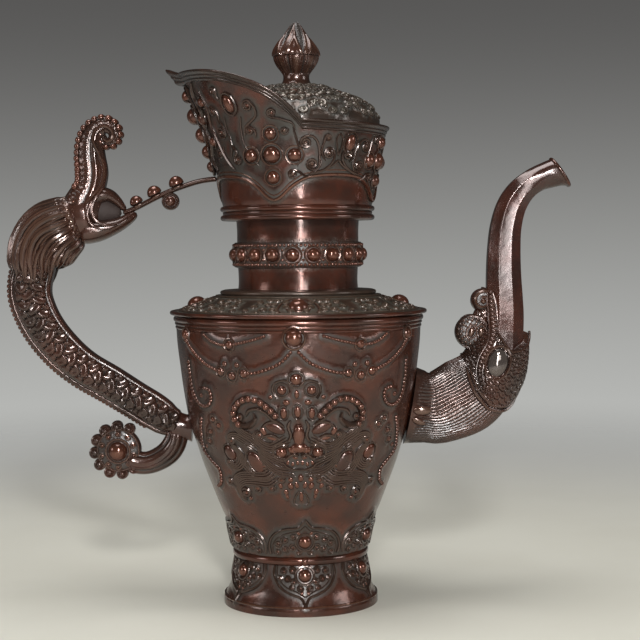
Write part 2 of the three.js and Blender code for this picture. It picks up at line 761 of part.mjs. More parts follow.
function scrollBoss(side) {
  const [x, z] = scrollCentre;
  return dome(scrollBossRadius, 4.6)
    .rotateX(side * Math.PI / 2)
    .translate(x, -side * (scrollThickness / 2 + seatGap), z);
}

// Strut from the dragon's mouth to the collar

const strutTop = collarBottom + strutHeight;
const strutEnd = [-collarRadius(strutTop) - apronGap - apronThickness - 2 * seatGap, strutTop];
const [strutStart] = movedKeys([[-26.5, 109.9]], handleRoot);
// The share of the way along, and the lift above the straight line there.
const strutBow = [
  [0, 0], [0.14, 0.5], [0.3, 1.9], [0.47, 3.9], [0.63, 4.5], [0.75, 4.4], [0.91, 2.2], [1, 0],
];
const strutKeys = strutBow.map(([share, lift]) => [
  THREE.MathUtils.lerp(strutStart[0], strutEnd[0], share),
  THREE.MathUtils.lerp(strutStart[1], strutEnd[1], share) + lift,
  strutThickness / 2,
  strutThickness * 0.7,
]);
const strutPath = new THREE.CatmullRomCurve3(strutKeys.map(([x, z]) => new THREE.Vector3(x, 0, z)));

function strutBar() {
  return cut(swept(strutKeys, { sides: 6, steps: 12 }), dragonHead(seatGap));
}

function strutBoss(t, radius) {
  const foot = strutPath.getPoint(t);
  const tangent = strutPath.getTangent(t);
  const lean = Math.atan2(tangent.z, tangent.x);
  return dome(radius, radius * 0.95, 10)
    .translate(0, 0, strutThickness / 2 + seatGap)
    .rotateY(-lean)
    .translate(foot.x, 0, foot.z);
}

// A round pendant under the strut, with a bead on each face.
function strutPendant() {
  const hang = strutPath.getPoint(pendantPlace);
  const tangent = strutPath.getTangent(pendantPlace);
  const drop = strutThickness / 2 + 2 * seatGap + pendantRadius;
  const centre = [hang.x + tangent.z * drop, hang.z - tangent.x * drop];
  const studs = [1, -1].map((side) => bead(pendantRadius * 0.6, 2.4)
    .rotateX(side * Math.PI / 2)
    .translate(centre[0], -side * (pendantThickness / 2 - 0.4), centre[1]));
  return joined(disc(centre, pendantRadius, pendantThickness, 12), ...studs);
}

// Spout, drawn from the middle of its joint with the vessel

const headHalfDepth = 13.2;
const elbowKeys = movedKeys([
  [-6, 1, 20.5, 16.5], [0, 0, 18.8, 15], [8.9, -1.6, 18, 14.2], [16.7, -1.3, 18.8, 14.2],
  [30.8, 5.2, 20, 13.8], [41.9, 15.6, 17.2, headHalfDepth], [46.8, 26, 15.2, 12.6], [50.1, 37, 12, 12],
], spoutRoot);
const elbowSides = 12;
const tubeKeys = movedKeys([
  [49.6, 30.6, 10.3, 9.6], [50.2, 44.2, 10.3, 9.6], [50.1, 54.6, 10.1, 9.3], [49.7, 67.7, 9.6, 8.9],
  [49.9, 80.7, 9.1, 8.4], [50.9, 92.1, 8.6, 7.9], [53.7, 102.5, 8.1, 7.5], [58.5, 110.3, 7.4, 7],
  [64.8, 115.6, 6.9, 6.6], [72.1, 119.2, 6.8, 6.6], [76.5, 120.6, 7.6, 7.2], [80.5, 121.4, 8.6, 8],
], spoutRoot);
const elbowSplit = 0.66;

function elbow(from, to, grow = 0, reach = [0, 0]) {
  const steps = Math.round((to - from) * 14);
  return swept(elbowKeys, { sides: elbowSides, steps, from, to, grow, reach });
}

const spoutPipe = (grow = 0, reach = [0, 0]) =>
  swept(tubeKeys, { sides: 8, steps: 14, flats: true, grow, reach });

function spoutSocket() {
  return cut(elbow(0, elbowSplit), elbow(0, elbowSplit, -spoutWall, [2, 2]), vesselTool(seatGap));
}

function spoutHead() {
  const from = elbowSplit + 0.01;
  return cut(elbow(from, 1), elbow(from, 1, -spoutWall, [2, 2]), spoutPipe(seatGap, [1, 0]));
}

// The pipe's mouth is cut on a slant, so that its lower lip reaches furthest.
function spoutTube() {
  const [[x, z]] = movedKeys([[79.2, 120.9]], spoutRoot);
  const side = 60;
  const slant = new THREE.BoxGeometry(side, side, side)
    .translate(side / 2, 0, 0)
    .rotateY(-THREE.MathUtils.degToRad(spoutMouthSlant))
    .translate(x, 0, z);
  return cut(spoutPipe(0, [0, 6]), spoutPipe(-spoutWall, [2, 8]), slant);
}

const [largeCurl, smallCurl] = movedKeys([[32.9, 38.5], [40.4, 54.6]], spoutRoot);

// Two curls stand against the inner side of the head and the pipe.
function spoutCrest() {
  const linkKeys = movedKeys([[32.9, 38.5, 5, 4.4], [36, 46, 4, 4.2], [40.4, 54.6, 4, 4]], spoutRoot);
  const footKeys = movedKeys([[36, 28, 5, 4.6], [33, 38, 5, 4.6]], spoutRoot);
  const curls = joined(
    disc(largeCurl, largeCurlRadius, crestThickness, 14),
    disc(smallCurl, smallCurlRadius, crestThickness - 2, 12),
    swept(linkKeys, { sides: 8, steps: 3 }),
    swept(footKeys, { sides: 8, steps: 2 }),
  );
  return cut(curls, elbow(elbowSplit - 0.2, 1, seatGap, [0, 0.5]), spoutPipe(seatGap));
}

function spoutJewel(side) {
  const [[x, z]] = movedKeys([[47.2, 22.4]], spoutRoot);
  const cheek = headHalfDepth * Math.cos(Math.PI / elbowSides);
  return dome(1, 1, 12)
    .scale(jewelHalfWidth, jewelHalfHeight, jewelRise)
    .rotateX(side * Math.PI / 2)
    .translate(x, -side * (cheek + seatGap), z);
}

// Assembly

const ewer = new THREE.Group();
ewer.position.x = originShift;

function place(name, geometry, finish, parent = ewer) {
  const mesh = new THREE.Mesh(closed(geometry), new THREE.MeshStandardMaterial(finish));
  mesh.name = name;
  parent.add(mesh);
}

place('foot_ring', footRing(), brownCopper);
place('foot_seam_ring', footSeamRing(), redCopper);
place('vessel_floor', vesselFloor(), darkCopper);
place('vessel_body', vesselBody(), brownCopper);
place('mouth_ring', mouthRing(), redCopper);
place('shoulder_plate', shoulderPlate(), darkCopper);
['spout', 'back', 'handle', 'front'].forEach((side, i) => {
  place(`shoulder_boss_${side}`, shoulderBoss(90 * i), redCopper);
});
place('neck_flange', neckFlange(), redCopper);
place('neck_tube', neckTube(), brownCopper);
place('neck_band', neckBand(), redCopper);
place('collar_base_ring', collarBaseRing(), redCopper);
place('collar_wall', collarWall(), brownCopper);
place('collar_apron', collarApron(), darkCopper);
place('collar_rim', collarRim(), redCopper);
place('lid_seat', lidSeat(), darkCopper);

const lid = new THREE.Group();
ewer.add(lid);
place('lid_dome', lidDome(), giltCopper, lid);
place('lid_skirt', lidSkirt(), darkCopper, lid);
place('finial_cup', finialCup(), brownCopper, lid);
place('finial_bud', finialBud(), giltCopper, lid);
place('finial_pin', finialPin(), darkCopper, lid);

place('handle_ferrule', handleFerrule(), redCopper);
place('handle_body', handleShell(), brownCopper);
place('handle_spine', handleSpine(), redCopper);
place('handle_mane', dragonMane(), darkCopper);
place('handle_head', dragonHead(), redCopper);
place('handle_trunk', dragonTrunk(), brownCopper);
place('handle_scroll', tailScroll(), brownCopper);
place('scroll_boss_front', scrollBoss(1), redCopper);
place('scroll_boss_back', scrollBoss(-1), redCopper);

place('strut_bar', strutBar(), brownCopper);
strutBosses.forEach(([share, radius], i) => {
  place(`strut_boss_${i + 1}`, strutBoss(share, radius), redCopper);
});
place('strut_pendant', strutPendant(), redCopper);

place('spout_socket', spoutSocket(), brownCopper);
place('spout_head', spoutHead(), brownCopper);
place('spout_tube', spoutTube(), redCopper);
place('spout_crest', spoutCrest(), darkCopper);
place('spout_jewel_front', spoutJewel(1), redCopper);
place('spout_jewel_back', spoutJewel(-1), redCopper);

export default ewer;
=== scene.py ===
"""Looks of the wine ewer: turned copper, chased ornament, the dragon handle and the makara spout."""
import math
import bmesh
import bpy
import numpy as np
from mathutils import Matrix, Quaternion, Vector, kdtree


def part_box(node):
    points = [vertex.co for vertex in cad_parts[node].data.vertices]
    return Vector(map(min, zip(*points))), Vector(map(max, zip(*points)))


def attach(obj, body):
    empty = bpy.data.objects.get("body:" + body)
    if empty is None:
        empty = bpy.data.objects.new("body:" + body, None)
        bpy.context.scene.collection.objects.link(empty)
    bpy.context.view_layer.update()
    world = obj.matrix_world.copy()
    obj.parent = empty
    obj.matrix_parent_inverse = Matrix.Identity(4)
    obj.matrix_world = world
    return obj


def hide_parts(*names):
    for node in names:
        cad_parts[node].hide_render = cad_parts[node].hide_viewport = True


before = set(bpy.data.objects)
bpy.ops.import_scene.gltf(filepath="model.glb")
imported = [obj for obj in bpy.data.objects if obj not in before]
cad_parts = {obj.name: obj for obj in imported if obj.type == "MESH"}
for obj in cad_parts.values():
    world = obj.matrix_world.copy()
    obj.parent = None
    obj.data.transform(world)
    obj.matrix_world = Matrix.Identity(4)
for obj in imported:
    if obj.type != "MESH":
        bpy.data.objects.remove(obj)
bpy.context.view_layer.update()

foot_low, foot_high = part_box("foot_ring")
axis_x = (foot_low.x + foot_high.x) / 2
mm = 0.001
to_frame = Matrix.Translation((axis_x, 0, 0)) @ Matrix.Scale(mm, 4)
tiny = 1e-6


# Lines and faces, in millimetres about the vessel's axis

def flowing(points, step=1.0):
    """A smooth line through the points, with a point about every step."""
    rows = np.array(points, float)
    ends = np.vstack([2 * rows[0] - rows[1], rows, 2 * rows[-1] - rows[-2]])
    line = []
    for a, b, c, d in zip(ends, ends[1:], ends[2:], ends[3:]):
        count = max(1, int(round(np.linalg.norm((c - b)[:2]) / step)))
        for t in np.arange(count) / count:
            bend = (2 * a - 5 * b + 4 * c - d) * t * t + (3 * b - a - 3 * c + d) * t ** 3
            line.append(0.5 * (2 * b + (c - a) * t + bend))
    line.append(rows[-1])
    return np.array(line)


def straight(points, step=1.0):
    """The same points with more between them, for a line that keeps its corners."""
    rows = np.array(points, float)
    line = []
    for a, b in zip(rows, rows[1:]):
        count = max(1, int(round(np.linalg.norm(b - a) / step)))
        line += [a + (b - a) * k / count for k in range(count)]
    line.append(rows[-1])
    return np.array(line)


def arc(centre, radius, start, end, steps=7):
    """Points round part of a circle, for a rolled moulding."""
    angles = np.radians(np.linspace(start, end, steps))
    return [(centre[0] + radius * math.cos(a), centre[1] + radius * math.sin(a)) for a in angles]


def lengths(line):
    """How far along the line each of its points is."""
    return np.concatenate([[0], np.cumsum(np.linalg.norm(np.diff(line, axis=0), axis=1))])


def evenly(line, pitch):
    """Points on the line at an even pitch, its ends among them."""
    line = np.array(line, float)
    run = lengths(line)
    count = max(1, int(round(run[-1] / pitch)))
    stops = np.linspace(0, run[-1], count + 1)
    return np.array([np.interp(stops, run, column) for column in line.T]).T


def soft_step(x):
    """0 below 0, 1 above 1, and smooth between."""
    x = np.clip(x, 0, 1)
    return x * x * (3 - 2 * x)


def hump(value, centre, width):
    """1 at the centre, and less the farther the value is from it."""
    return np.exp(-((value - centre) / width) ** 2)


def away(degrees):
    """How far round from 0 an angle is, 0 to 180."""
    return np.abs((degrees + 180) % 360 - 180)


def polar(rows):
    """How far from the axis points are, and their angle round it from the front."""
    return np.maximum(np.hypot(rows[:, 0], rows[:, 1]), tiny), np.arctan2(rows[:, 0], -rows[:, 1])


def ways(count, start=0.0, hands=(1, -1)):
    """Places evenly round the axis. Each is an angle and a hand, which is -1 for a mirrored copy."""
    return tuple((start + 360 / count * k, hand) for k in range(count) for hand in hands)


def standing(side, climb, out, spot):
    """A matrix with these directions and this place."""
    return Matrix([[side[k], climb[k], out[k], spot[k]] for k in range(3)] + [[0, 0, 0, 1]])


def on_edge(spot):
    """A matrix at the spot that lays a turned piece on its side, its top to the ewer's front."""
    return Matrix.Translation(spot) @ Matrix.Rotation(math.radians(90), 4, "X")


class Course:
    """A line that knows how far along it each of its points is."""

    def __init__(self, line):
        self.line = np.array(line, float)
        self.run = lengths(self.line[:, :2])
        self.long = self.run[-1]

    def at(self, run):
        """The line's columns at a distance along it."""
        return np.array([np.interp(run, self.run, column) for column in self.line.T])

    def slope(self, run, near):
        """Which way the line goes at a distance along it, over a length of twice near."""
        dx, dy = (self.at(run + near) - self.at(run - near))[:2]
        size = np.maximum(np.hypot(dx, dy), tiny)
        return dx / size, dy / size


class Round(Course):
    """A turned face. A place on it is degrees from the front, towards the spout, and a height,
    or on a nearly level face a radius."""

    def __init__(self, line, by="height"):
        super().__init__(line)
        self.by = by
        key = self.line[:, 1 if by == "height" else 0]
        order = np.argsort(key)
        self.keys = key[order]
        self.key_runs = self.run[order]

    def stand(self, degrees, place, lift=0.0, across=0.0, up=0.0):
        """Where a place is, and its directions across, up and out of the face."""
        run = np.interp(place, self.keys, self.key_runs) + up
        r, z = self.at(run)
        slope = Vector(self.at(run + 0.5) - self.at(run - 0.5)).normalized()
        turn = math.radians(degrees) + across / max(r, 0.5)
        sine, cosine = math.sin(turn), math.cos(turn)
        out = Vector((sine * slope.y, -cosine * slope.y, -slope.x))
        climb = Vector((sine * slope.x, -cosine * slope.x, slope.y))
        spot = Vector((r * sine, -r * cosine, z)) + out * lift
        return standing(Vector((cosine, sine, 0)), climb, out, spot)

    def outward(self, points):
        """The outward direction of the face beside each point."""
        r = polar(points)[0]
        run = np.interp(points[:, 2] if self.by == "height" else r, self.keys, self.key_runs)
        dr, dz = self.slope(run, 0.5)
        return np.stack([points[:, 0] / r * dz, points[:, 1] / r * dz, -dr], 1)


class Arm(Course):
    """A bar or tube that follows a line in the plane of handle and spout. Its keys are places on the
    line, each with the bar's half width and half depth. A place on it is degrees round it, 0 on the
    left of its run and 90 at the ewer's back, and millimetres along it."""

    def __init__(self, keys, root=(0, 0), start=0.0, end=1.0):
        rows = np.array(keys, float)
        rows[:, :2] += root
        line = evenly(flowing(rows, 0.5), 0.5)
        super().__init__(line[int(start * (len(line) - 1)):int(end * (len(line) - 1)) + 1])

    def frames(self, along):
        """Centre, half sizes and direction at places along the arm."""
        return (*self.at(along), *self.slope(along, 1.0))

    def points(self, degrees, along, lift=0.0, full=1.0, square=1.0):
        """Places on the arm, its section an ellipse or, where square is under 1, nearer a box."""
        x, z, wide, deep, tx, tz = self.frames(along)
        c, s = np.cos(np.radians(degrees)), np.sin(np.radians(degrees))
        box_c, box_s = np.sign(c) * np.abs(c) ** square, np.sign(s) * np.abs(s) ** square
        out_a, out_b = c / wide, s / deep
        size = np.hypot(out_a, out_b)
        a = (wide * box_c + out_a / size * lift) * full
        b = (deep * box_s + out_b / size * lift) * full
        return np.stack([x - tz * a, b, z + tx * a], -1)

    def stand(self, degrees, place, lift=0.0, across=0.0, up=0.0):
        """Where a place is, and its directions across, along and out of the arm."""
        x, z, wide, deep, tx, tz = (float(v) for v in self.frames(np.clip(place + up, 0, self.long)))
        turn = math.radians(degrees + math.degrees(across / ((wide + deep) / 2)))
        c, s = math.cos(turn), math.sin(turn)
        out_a, out_b = c / wide, s / deep
        size = math.hypot(out_a, out_b)
        out = Vector((-tz * out_a / size, out_b / size, tx * out_a / size))
        climb = Vector((tx, 0, tz))
        spot = Vector((x - tz * wide * c, deep * s, z + tx * wide * c)) + out * lift
        return standing(climb.cross(out), climb, out, spot)

    def outward(self, points):
        """The outward direction of the arm beside each point."""
        coarse = self.line[None, ::4]
        far = np.hypot(points[:, None, 0] - coarse[..., 0], points[:, None, 2] - coarse[..., 1])
        x, z, wide, deep, tx, tz = self.frames(self.run[::4][far.argmin(1)])
        a = (-(points[:, 0] - x) * tz + (points[:, 2] - z) * tx) / wide ** 2
        b = points[:, 1] / deep ** 2
        size = np.maximum(np.hypot(a, b), tiny)
        return np.stack([-tz * a / size, b / size, tx * a / size], 1)


# Finishes

def paint(red, green, blue, share=1.0):
    """A colour as it is read from a picture, made linear by the usual curve. share darkens it."""
    parts = [c / 255 for c in (red, green, blue)]
    return [(c / 12.92 if c <= 0.04045 else ((c + 0.055) / 1.055) ** 2.4) * share for c in parts] + [1]


class Value:
    """One value of a finish. Arithmetic on it adds Math nodes."""

    def __init__(self, nodes, socket):
        self.nodes = nodes
        self.socket = socket

    def maths(self, operation, first, second):
        return self.nodes.node("ShaderNodeMath", {"operation": operation}, {0: first, 1: second})

    def __add__(self, other):
        return self.maths("ADD", self, other)

    def __sub__(self, other):
        return self.maths("SUBTRACT", self, other)

    def __rsub__(self, other):
        return self.maths("SUBTRACT", other, self)

    def __mul__(self, other):
        return self.maths("MULTIPLY", self, other)

    __radd__ = __add__

    def between(self, low, high):
        """0 where the value is at low, 1 where it is at high, smooth between."""
        return self.nodes.node("ShaderNodeMapRange", {"interpolation_type": "SMOOTHSTEP"},
                               {"Value": self, "From Min": low, "From Max": high})


class Nodes:
    """The nodes of a material or of the world."""

    def __init__(self, owner):
        owner.use_nodes = True
        self.tree = owner.node_tree

    def node(self, kind, settings, sockets, output=0):
        """Adds a node: its settings first, then the value or link of each socket."""
        made = self.tree.nodes.new(kind)
        for name, setting in settings.items():
            setattr(made, name, setting)
        for name, value in sockets.items():
            self.join(made.inputs[name], value)
        return Value(self, made.outputs[output])

    def join(self, socket, value):
        """Links a value to a socket, or sets a plain number or colour there."""
        if isinstance(value, Value):
            self.tree.links.new(value.socket, socket)
        else:
            socket.default_value = value

    def blend(self, share, first, second):
        """A colour between two."""
        return self.node("ShaderNodeMix", {"data_type": "RGBA"}, {0: share, 6: first, 7: second}, 2)


class Finish(Nodes):
    """A material whose colour, roughness and bump are worked out over the object."""

    def __init__(self, name):
        self.material = bpy.data.materials.new(name)
        super().__init__(self.material)
        self.shader = self.tree.nodes["Principled BSDF"]
        self.place = self.node("ShaderNodeTexCoord", {}, {}, "Object")

    def set(self, **sockets):
        """Sets the shader's own sockets."""
        for name, value in sockets.items():
            self.join(self.shader.inputs[name.replace("_", " ")], value)

    def mark(self, name):
        """A number that the piece carries at each of its points."""
        return self.node("ShaderNodeAttribute", {"attribute_name": name}, {}, "Fac")

    def noise(self, scale, detail, roughness=0.55, place=None):
        return self.node("ShaderNodeTexNoise", {}, {"Vector": place or self.place, "Scale": scale,
                                                    "Detail": detail, "Roughness": roughness})


# How much darker the old copper is than the tones it is given
aged = 0.86


def worn_copper(name, ground, warm, deposit_and_shade, crest, soiling_and_shade, shine, metal, pitting=1.0, coat=0.15):
    """Old copper: a polished ground that shifts between two browns, a deposit in the recesses that is also
    painted shade, and bare metal on the high places that is also a painted highlight. The four colours are
    darkened by age."""
    ground, warm, deposit_and_shade, crest = (paint(*tone, aged) for tone in (ground, warm, deposit_and_shade, crest))
    finish = Finish(name)
    high = finish.mark("crest")
    low = finish.mark("grime_and_shade")
    cloud = finish.noise(55.0, 3.0)
    fine = finish.noise(420.0, 3.0, 0.65)
    speck = finish.noise(1500.0, 2.0, 0.7)
    hammered = finish.noise(150.0, 2.0, 0.45)
    combed = finish.node("ShaderNodeMapping", {}, {"Vector": finish.place, "Scale": (0.25, 0.25, 1.6)})
    scratch = finish.noise(900.0, 2.0, 0.6, combed)
    punched = finish.node("ShaderNodeTexVoronoi", {},
                          {"Vector": finish.place, "Scale": 1100.0}, "Distance")
    body = finish.blend(cloud.between(0.33, 0.67), ground, warm)
    body = finish.blend(fine.between(0.35, 0.8) * 0.3, body, deposit_and_shade)
    uneven = (cloud - 0.5) * 0.22 + (fine - 0.5) * 0.6
    # Deposit and painted shade: the deposit colour darkens the recesses and the ground beside the ornament
    soil_and_shade = (low * soiling_and_shade + uneven).between(0.1, 0.95) * low.between(0.0, 0.3)
    body = finish.blend(soil_and_shade * 0.9, body, deposit_and_shade)
    # Wear and painted highlight: the crest colour lightens the high places
    rubbed_and_highlit = (high + (fine - 0.5) * 0.5).between(0.5, 1.05)
    body = finish.blend(rubbed_and_highlit * 0.8, body, crest)
    rough = shine + soil_and_shade * 0.22 - rubbed_and_highlit * 0.06 + (fine - 0.5) * 0.14
    pits = punched * low.between(0.1, 0.6) * 0.8
    height = fine * 0.5 + speck * 0.18 + scratch * 0.12 + hammered * 2.2 + pits
    bump = finish.node("ShaderNodeBump", {}, {"Height": height, "Strength": 0.3 * pitting,
                                              "Distance": 0.0004})
    finish.set(Base_Color=body, Metallic=metal - soil_and_shade * 0.25, Roughness=rough, Coat_Weight=coat,
               Coat_Roughness=0.1, IOR=1.72, Normal=bump)
    return finish.material


grey_grime = (64, 58, 50)
green_grime = (76, 72, 61)
# A near-black deposit colour that also paints the shade in grooves and round the beads
dark_grime_and_shade = (40, 35, 31)
# A dark tone that paints the shade inside the dragon's open mouth
mouth_shade_tone = (44, 27, 20)

# The body's dark deposit colour also paints the shade in the gaps between the mask's wires
body_finish = worn_copper("polished_body_copper", (64, 38, 29), (92, 49, 33), (46, 41, 35), (118, 82, 62),
                          1.0, 0.25, 0.5)
ornament_finish = worn_copper("chased_copper", (64, 45, 37), (82, 53, 42), dark_grime_and_shade, (118, 88, 72),
                              0.9, 0.2, 0.5)
bead_finish = worn_copper("bright_copper_beads", (84, 51, 39), (104, 60, 44), dark_grime_and_shade, (112, 70, 54),
                          0.9, 0.19, 0.55)
moulding_finish = worn_copper("red_copper_mouldings", (64, 40, 32), (96, 50, 35), grey_grime,
                              (124, 86, 66), 0.9, 0.17, 0.55, 0.7)
shoulder_finish = worn_copper("dull_shoulder_copper", (62, 49, 41), (78, 58, 46), green_grime,
                              (118, 98, 80), 1.0, 0.32, 0.5)
gilt_finish = worn_copper("worn_gilt_copper", (62, 51, 44), (78, 59, 48), (66, 66, 60), (110, 104, 92),
                          1.0, 0.32, 0.55)
dragon_finish = worn_copper("dragon_copper", (60, 43, 36), (82, 51, 40), dark_grime_and_shade, (102, 76, 62),
                            1.0, 0.2, 0.44)
spout_finish = worn_copper("smooth_spout_copper", (60, 36, 30), (80, 44, 34), grey_grime, (112, 78, 62),
                           0.8, 0.17, 0.35, 0.7)
# The scrolls' near-black deposit colour paints shade on the wires' flanks as well as deposit
scroll_finish = worn_copper("dark_scroll_copper", (54, 40, 33), (68, 46, 37), (30, 26, 23), (84, 62, 50),
                            0.9, 0.19, 0.5)
collar_finish = worn_copper("aged_collar_copper", (52, 36, 30), (92, 46, 31), (50, 47, 40), (104, 72, 56),
                            1.0, 0.26, 0.5)
stone_finish = worn_copper("dark_cabochon_copper", (62, 55, 53), (74, 64, 60), grey_grime, (104, 94, 88),
                           0.8, 0.12, 0.6, 0.25)
# Painted shade: a dark, dull finish for the inside of the mouth
mouth_shade_finish = worn_copper("painted_mouth_shade_copper", mouth_shade_tone, mouth_shade_tone, mouth_shade_tone, mouth_shade_tone, 1.0, 0.8, 0.1, coat=0.0)


# Pieces

def meshed(name, bm, merge=0.0005):
    """The mesh of what was made, with its doubles merged and its faces turned outwards."""
    bmesh.ops.remove_doubles(bm, verts=bm.verts, dist=merge)
    bmesh.ops.recalc_face_normals(bm, faces=bm.faces)
    mesh = bpy.data.meshes.new(name)
    bm.to_mesh(mesh)
    bm.free()
    return mesh


def rows_of(things, name):
    """Three numbers of each of a mesh's points, as rows."""
    rows = np.empty(len(things) * 3)
    things.foreach_get(name, rows)
    return rows.reshape(-1, 3)


def places_of(mesh):
    return rows_of(mesh.vertices, "co")


def directions_of(mesh):
    return rows_of(mesh.vertex_normals, "vector")


def put(mesh, rows):
    """Moves the mesh's points to these places."""
    mesh.vertices.foreach_set("co", rows.ravel())
    mesh.update()


def mark(mesh, name, numbers):
    """Writes a number at each point of the mesh, for its finish to read."""
    layer = mesh.attributes.get(name) or mesh.attributes.new(name, "FLOAT", "POINT")
    layer.data.foreach_set("value", np.asarray(numbers, np.float32))


def show(mesh, finish, stands_for=(), body="ewer", slot="brown_copper", crease=38):
    """Puts a finished mesh on the ewer, in metres, riding on its body in place of its CAD nodes."""
    mesh.transform(to_frame)
    mesh.shade_smooth()
    mesh.set_sharp_from_angle(angle=math.radians(crease))
    mesh.materials.append(finish)
    made = bpy.data.objects.new(mesh.name, mesh)
    bpy.context.scene.collection.objects.link(made)
    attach(made, body)
    if stands_for:
        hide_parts(*stands_for)


def turned(name, outer, inner, sides):
    """A turned wall: the outer line from its foot up, the inner line back down, spun round the axis."""
    bm = bmesh.new()
    line = [bm.verts.new((r, 0, z)) for r, z in list(outer) + list(inner)]
    edges = [bm.edges.new(pair) for pair in zip(line, line[1:])]
    if len(inner):
        edges.append(bm.edges.new((line[-1], line[0])))
    bmesh.ops.spin(bm, geom=line + edges, cent=(0, 0, 0), axis=(0, 0, 1), angle=2 * math.pi,
                   steps=sides, use_merge=True)
    return meshed(name, bm)


def ringed(at, wide, tall, height, thick, count=24):
    """An oval wire about a place."""
    angles = np.linspace(0, 2 * math.pi, count + 1)[:-1]
    loop = [at @ Vector((wide * math.cos(a), tall * math.sin(a), height)) for a in angles]
    return loop, [thick] * count, True


class Chasing:
    """Ornament on one face: wires, scrolls and beads, repeated at several places round it. settle
    moves a place, ground is how far out the work stands, and bold thickens its scrolls."""

    def __init__(self, face, places=((0, 1),), settle=None, ground=0.0, bold=1.0):
        self.face = face
        self.places = places
        self.settle = settle or (lambda degrees, place: (degrees, place))
        self.ground = ground
        self.bold = bold
        self.wires = []
        self.balls = []
        self.under = []

    def repeats(self, beside):
        """Where work is repeated. Work on the middle line, not beside it, isn't mirrored."""
        return [p for p in self.places if beside or p[1] > 0]

    def stand(self, degrees, place, lift=0.0, across=0.0, up=0.0):
        return self.face.stand(*self.settle(degrees, place), lift + self.ground, across, up)

    def bead(self, degrees, place, size, ring=0.0, rise=0.75, tilt=0.0, lift=0.0):
        """A round or oval bead. size is its half width, or its half width and half height, and ring
        is how far outside it a wire runs round it."""
        wide, tall = size if isinstance(size, tuple) else (size, size)
        for turn, hand in self.repeats(degrees):
            at = self.stand(turn + hand * degrees, place, lift)
            at = at @ Matrix.Rotation(math.radians(hand * tilt), 4, "Z")
            shape = Matrix.Diagonal((wide, tall, rise * min(wide, tall), 1))
            self.balls.append((at @ shape, max(wide, tall)))
            self.under.append((at.translation.copy(), (wide + tall) / 2 + ring))
            if ring:
                self.wires.append(ringed(at, wide + ring, tall + ring, 0.15, max(0.35, ring * 0.55)))

    def wire(self, path, width, ends=(1.0, 1.0), lift=0.25, smooth=True, closed=False, step=1.1):
        """A half-round wire along places on the face. ends are its shares of the width at its two ends."""
        line = flowing(path, step) if smooth else straight(path, step)
        share = np.linspace(0, 1, len(line))
        swell = np.minimum(1, np.minimum(ends[0] + share * 5, ends[1] + (1 - share) * 5))
        for turn, hand in self.places:
            spots = [self.stand(turn + hand * d, p, lift * width).translation for d, p in line[:, :2]]
            self.wires.append((spots, list(width * swell), closed))
            self.under += [(spot, width) for spot in spots[::2]]

    def strands(self, path, width=0.78, gap=1.5, count=4):
        """Wires side by side, as combed hair."""
        line = flowing(path, 1.2)
        run = np.gradient(line, axis=0)
        reach = np.maximum(np.linalg.norm(run, axis=1), tiny)[:, None]
        side = np.stack([-run[:, 1], run[:, 0]], 1) / reach
        share = np.linspace(0, 1, len(line))[:, None]
        for k in range(count):
            off = (k - (count - 1) / 2) * gap
            self.wire(line + side * off * (1 - 0.55 * share), width, (0.25, 0.35), smooth=False, step=9)

    def string(self, path, size, pitch=2.3, rise=1.0, lift=0.3):
        """A string of small beads along places on the face."""
        line = flowing(path, 0.7)
        for turn, hand in self.repeats(any(degrees for degrees, place in path)):
            spots = np.array([self.stand(turn + hand * d, p).translation for d, p in line])
            rows = evenly(np.hstack([spots, line]), size * pitch)
            for row in rows:
                at = self.stand(turn + hand * row[3], row[4], lift * size)
                self.balls.append((at @ Matrix.Diagonal((size, size, size * rise, 1)), size))
                self.under.append((at.translation.copy(), size))

    def curl(self, degrees, place, size, start, hand=1, turns=1.2, width=0.62, knob=1.5, tail=()):
        """A scroll that winds out from a small knob; start is the angle of its inner end. tail gives
        places, in millimetres from the knob, that its outer end runs on through."""
        size = size * (1 + (self.bold - 1) * 0.25)
        width = width * self.bold
        steps = int(14 * turns)
        path = []
        for k in range(steps + 1):
            angle = math.radians(start) + hand * 2 * math.pi * turns * k / steps
            reach = size * (0.3 + 0.7 * k / steps)
            path.append((reach * math.cos(angle), reach * math.sin(angle)))
        if tail:
            path = flowing(path + list(tail), 0.9)
        share = np.linspace(0, 1, len(path))
        widths = list(width * np.minimum(1, 0.35 + (1 - share) * 4))
        for turn, side in self.places:
            spots = [self.stand(turn + side * degrees, place, 0.25 * width, side * x, y).translation
                     for x, y in path]
            self.wires.append((spots, widths, False))
            self.under += [(spot, width) for spot in spots[::2]]
        self.bead(degrees, place, width * knob)

    def run_on(self, degrees, place, size, turns, leave, hand, tail, width):
        """A scroll whose outer end leaves it at an angle and runs on through the tail."""
        self.curl(degrees, place, size, leave - hand * 360 * turns, hand, turns, width, 1.5, tail)

    def balls_mesh(self, name):
        return self.told(strewn(name, self.balls, 0.3))

    def wires_mesh(self, name, sides=1):
        return self.told(drawn(name, self.wires, sides))

    def told(self, mesh):
        """The tops of the work are rubbed bright and carry a painted highlight; its flanks are darkened by
        deposit and painted shade.
        """
        facing = (directions_of(mesh) * self.face.outward(places_of(mesh))).sum(1)
        mark(mesh, "crest", soft_step((facing - 0.55) / 0.45))
        mark(mesh, "grime_and_shade", 0.75 * soft_step((0.55 - facing) / 0.6))
        return mesh


def each(make, rows, **shared):
    """Makes one piece of work for each row."""
    for row in rows:
        make(*row, **shared)


def show_work(work, wires, wire_finish, balls, ball_finish, stands_for=(), **where):
    """Shows a work's wires and then its beads, which may stand for CAD nodes."""
    show(work.wires_mesh(wires), wire_finish, **where)
    show(work.balls_mesh(balls), ball_finish, stands_for, **where)


def ball(wide, tall):
    """One bead of radius 1, with few faces."""
    bm = bmesh.new()
    bmesh.ops.create_uvsphere(bm, u_segments=wide, v_segments=tall, radius=1)
    return meshed("bead", bm)


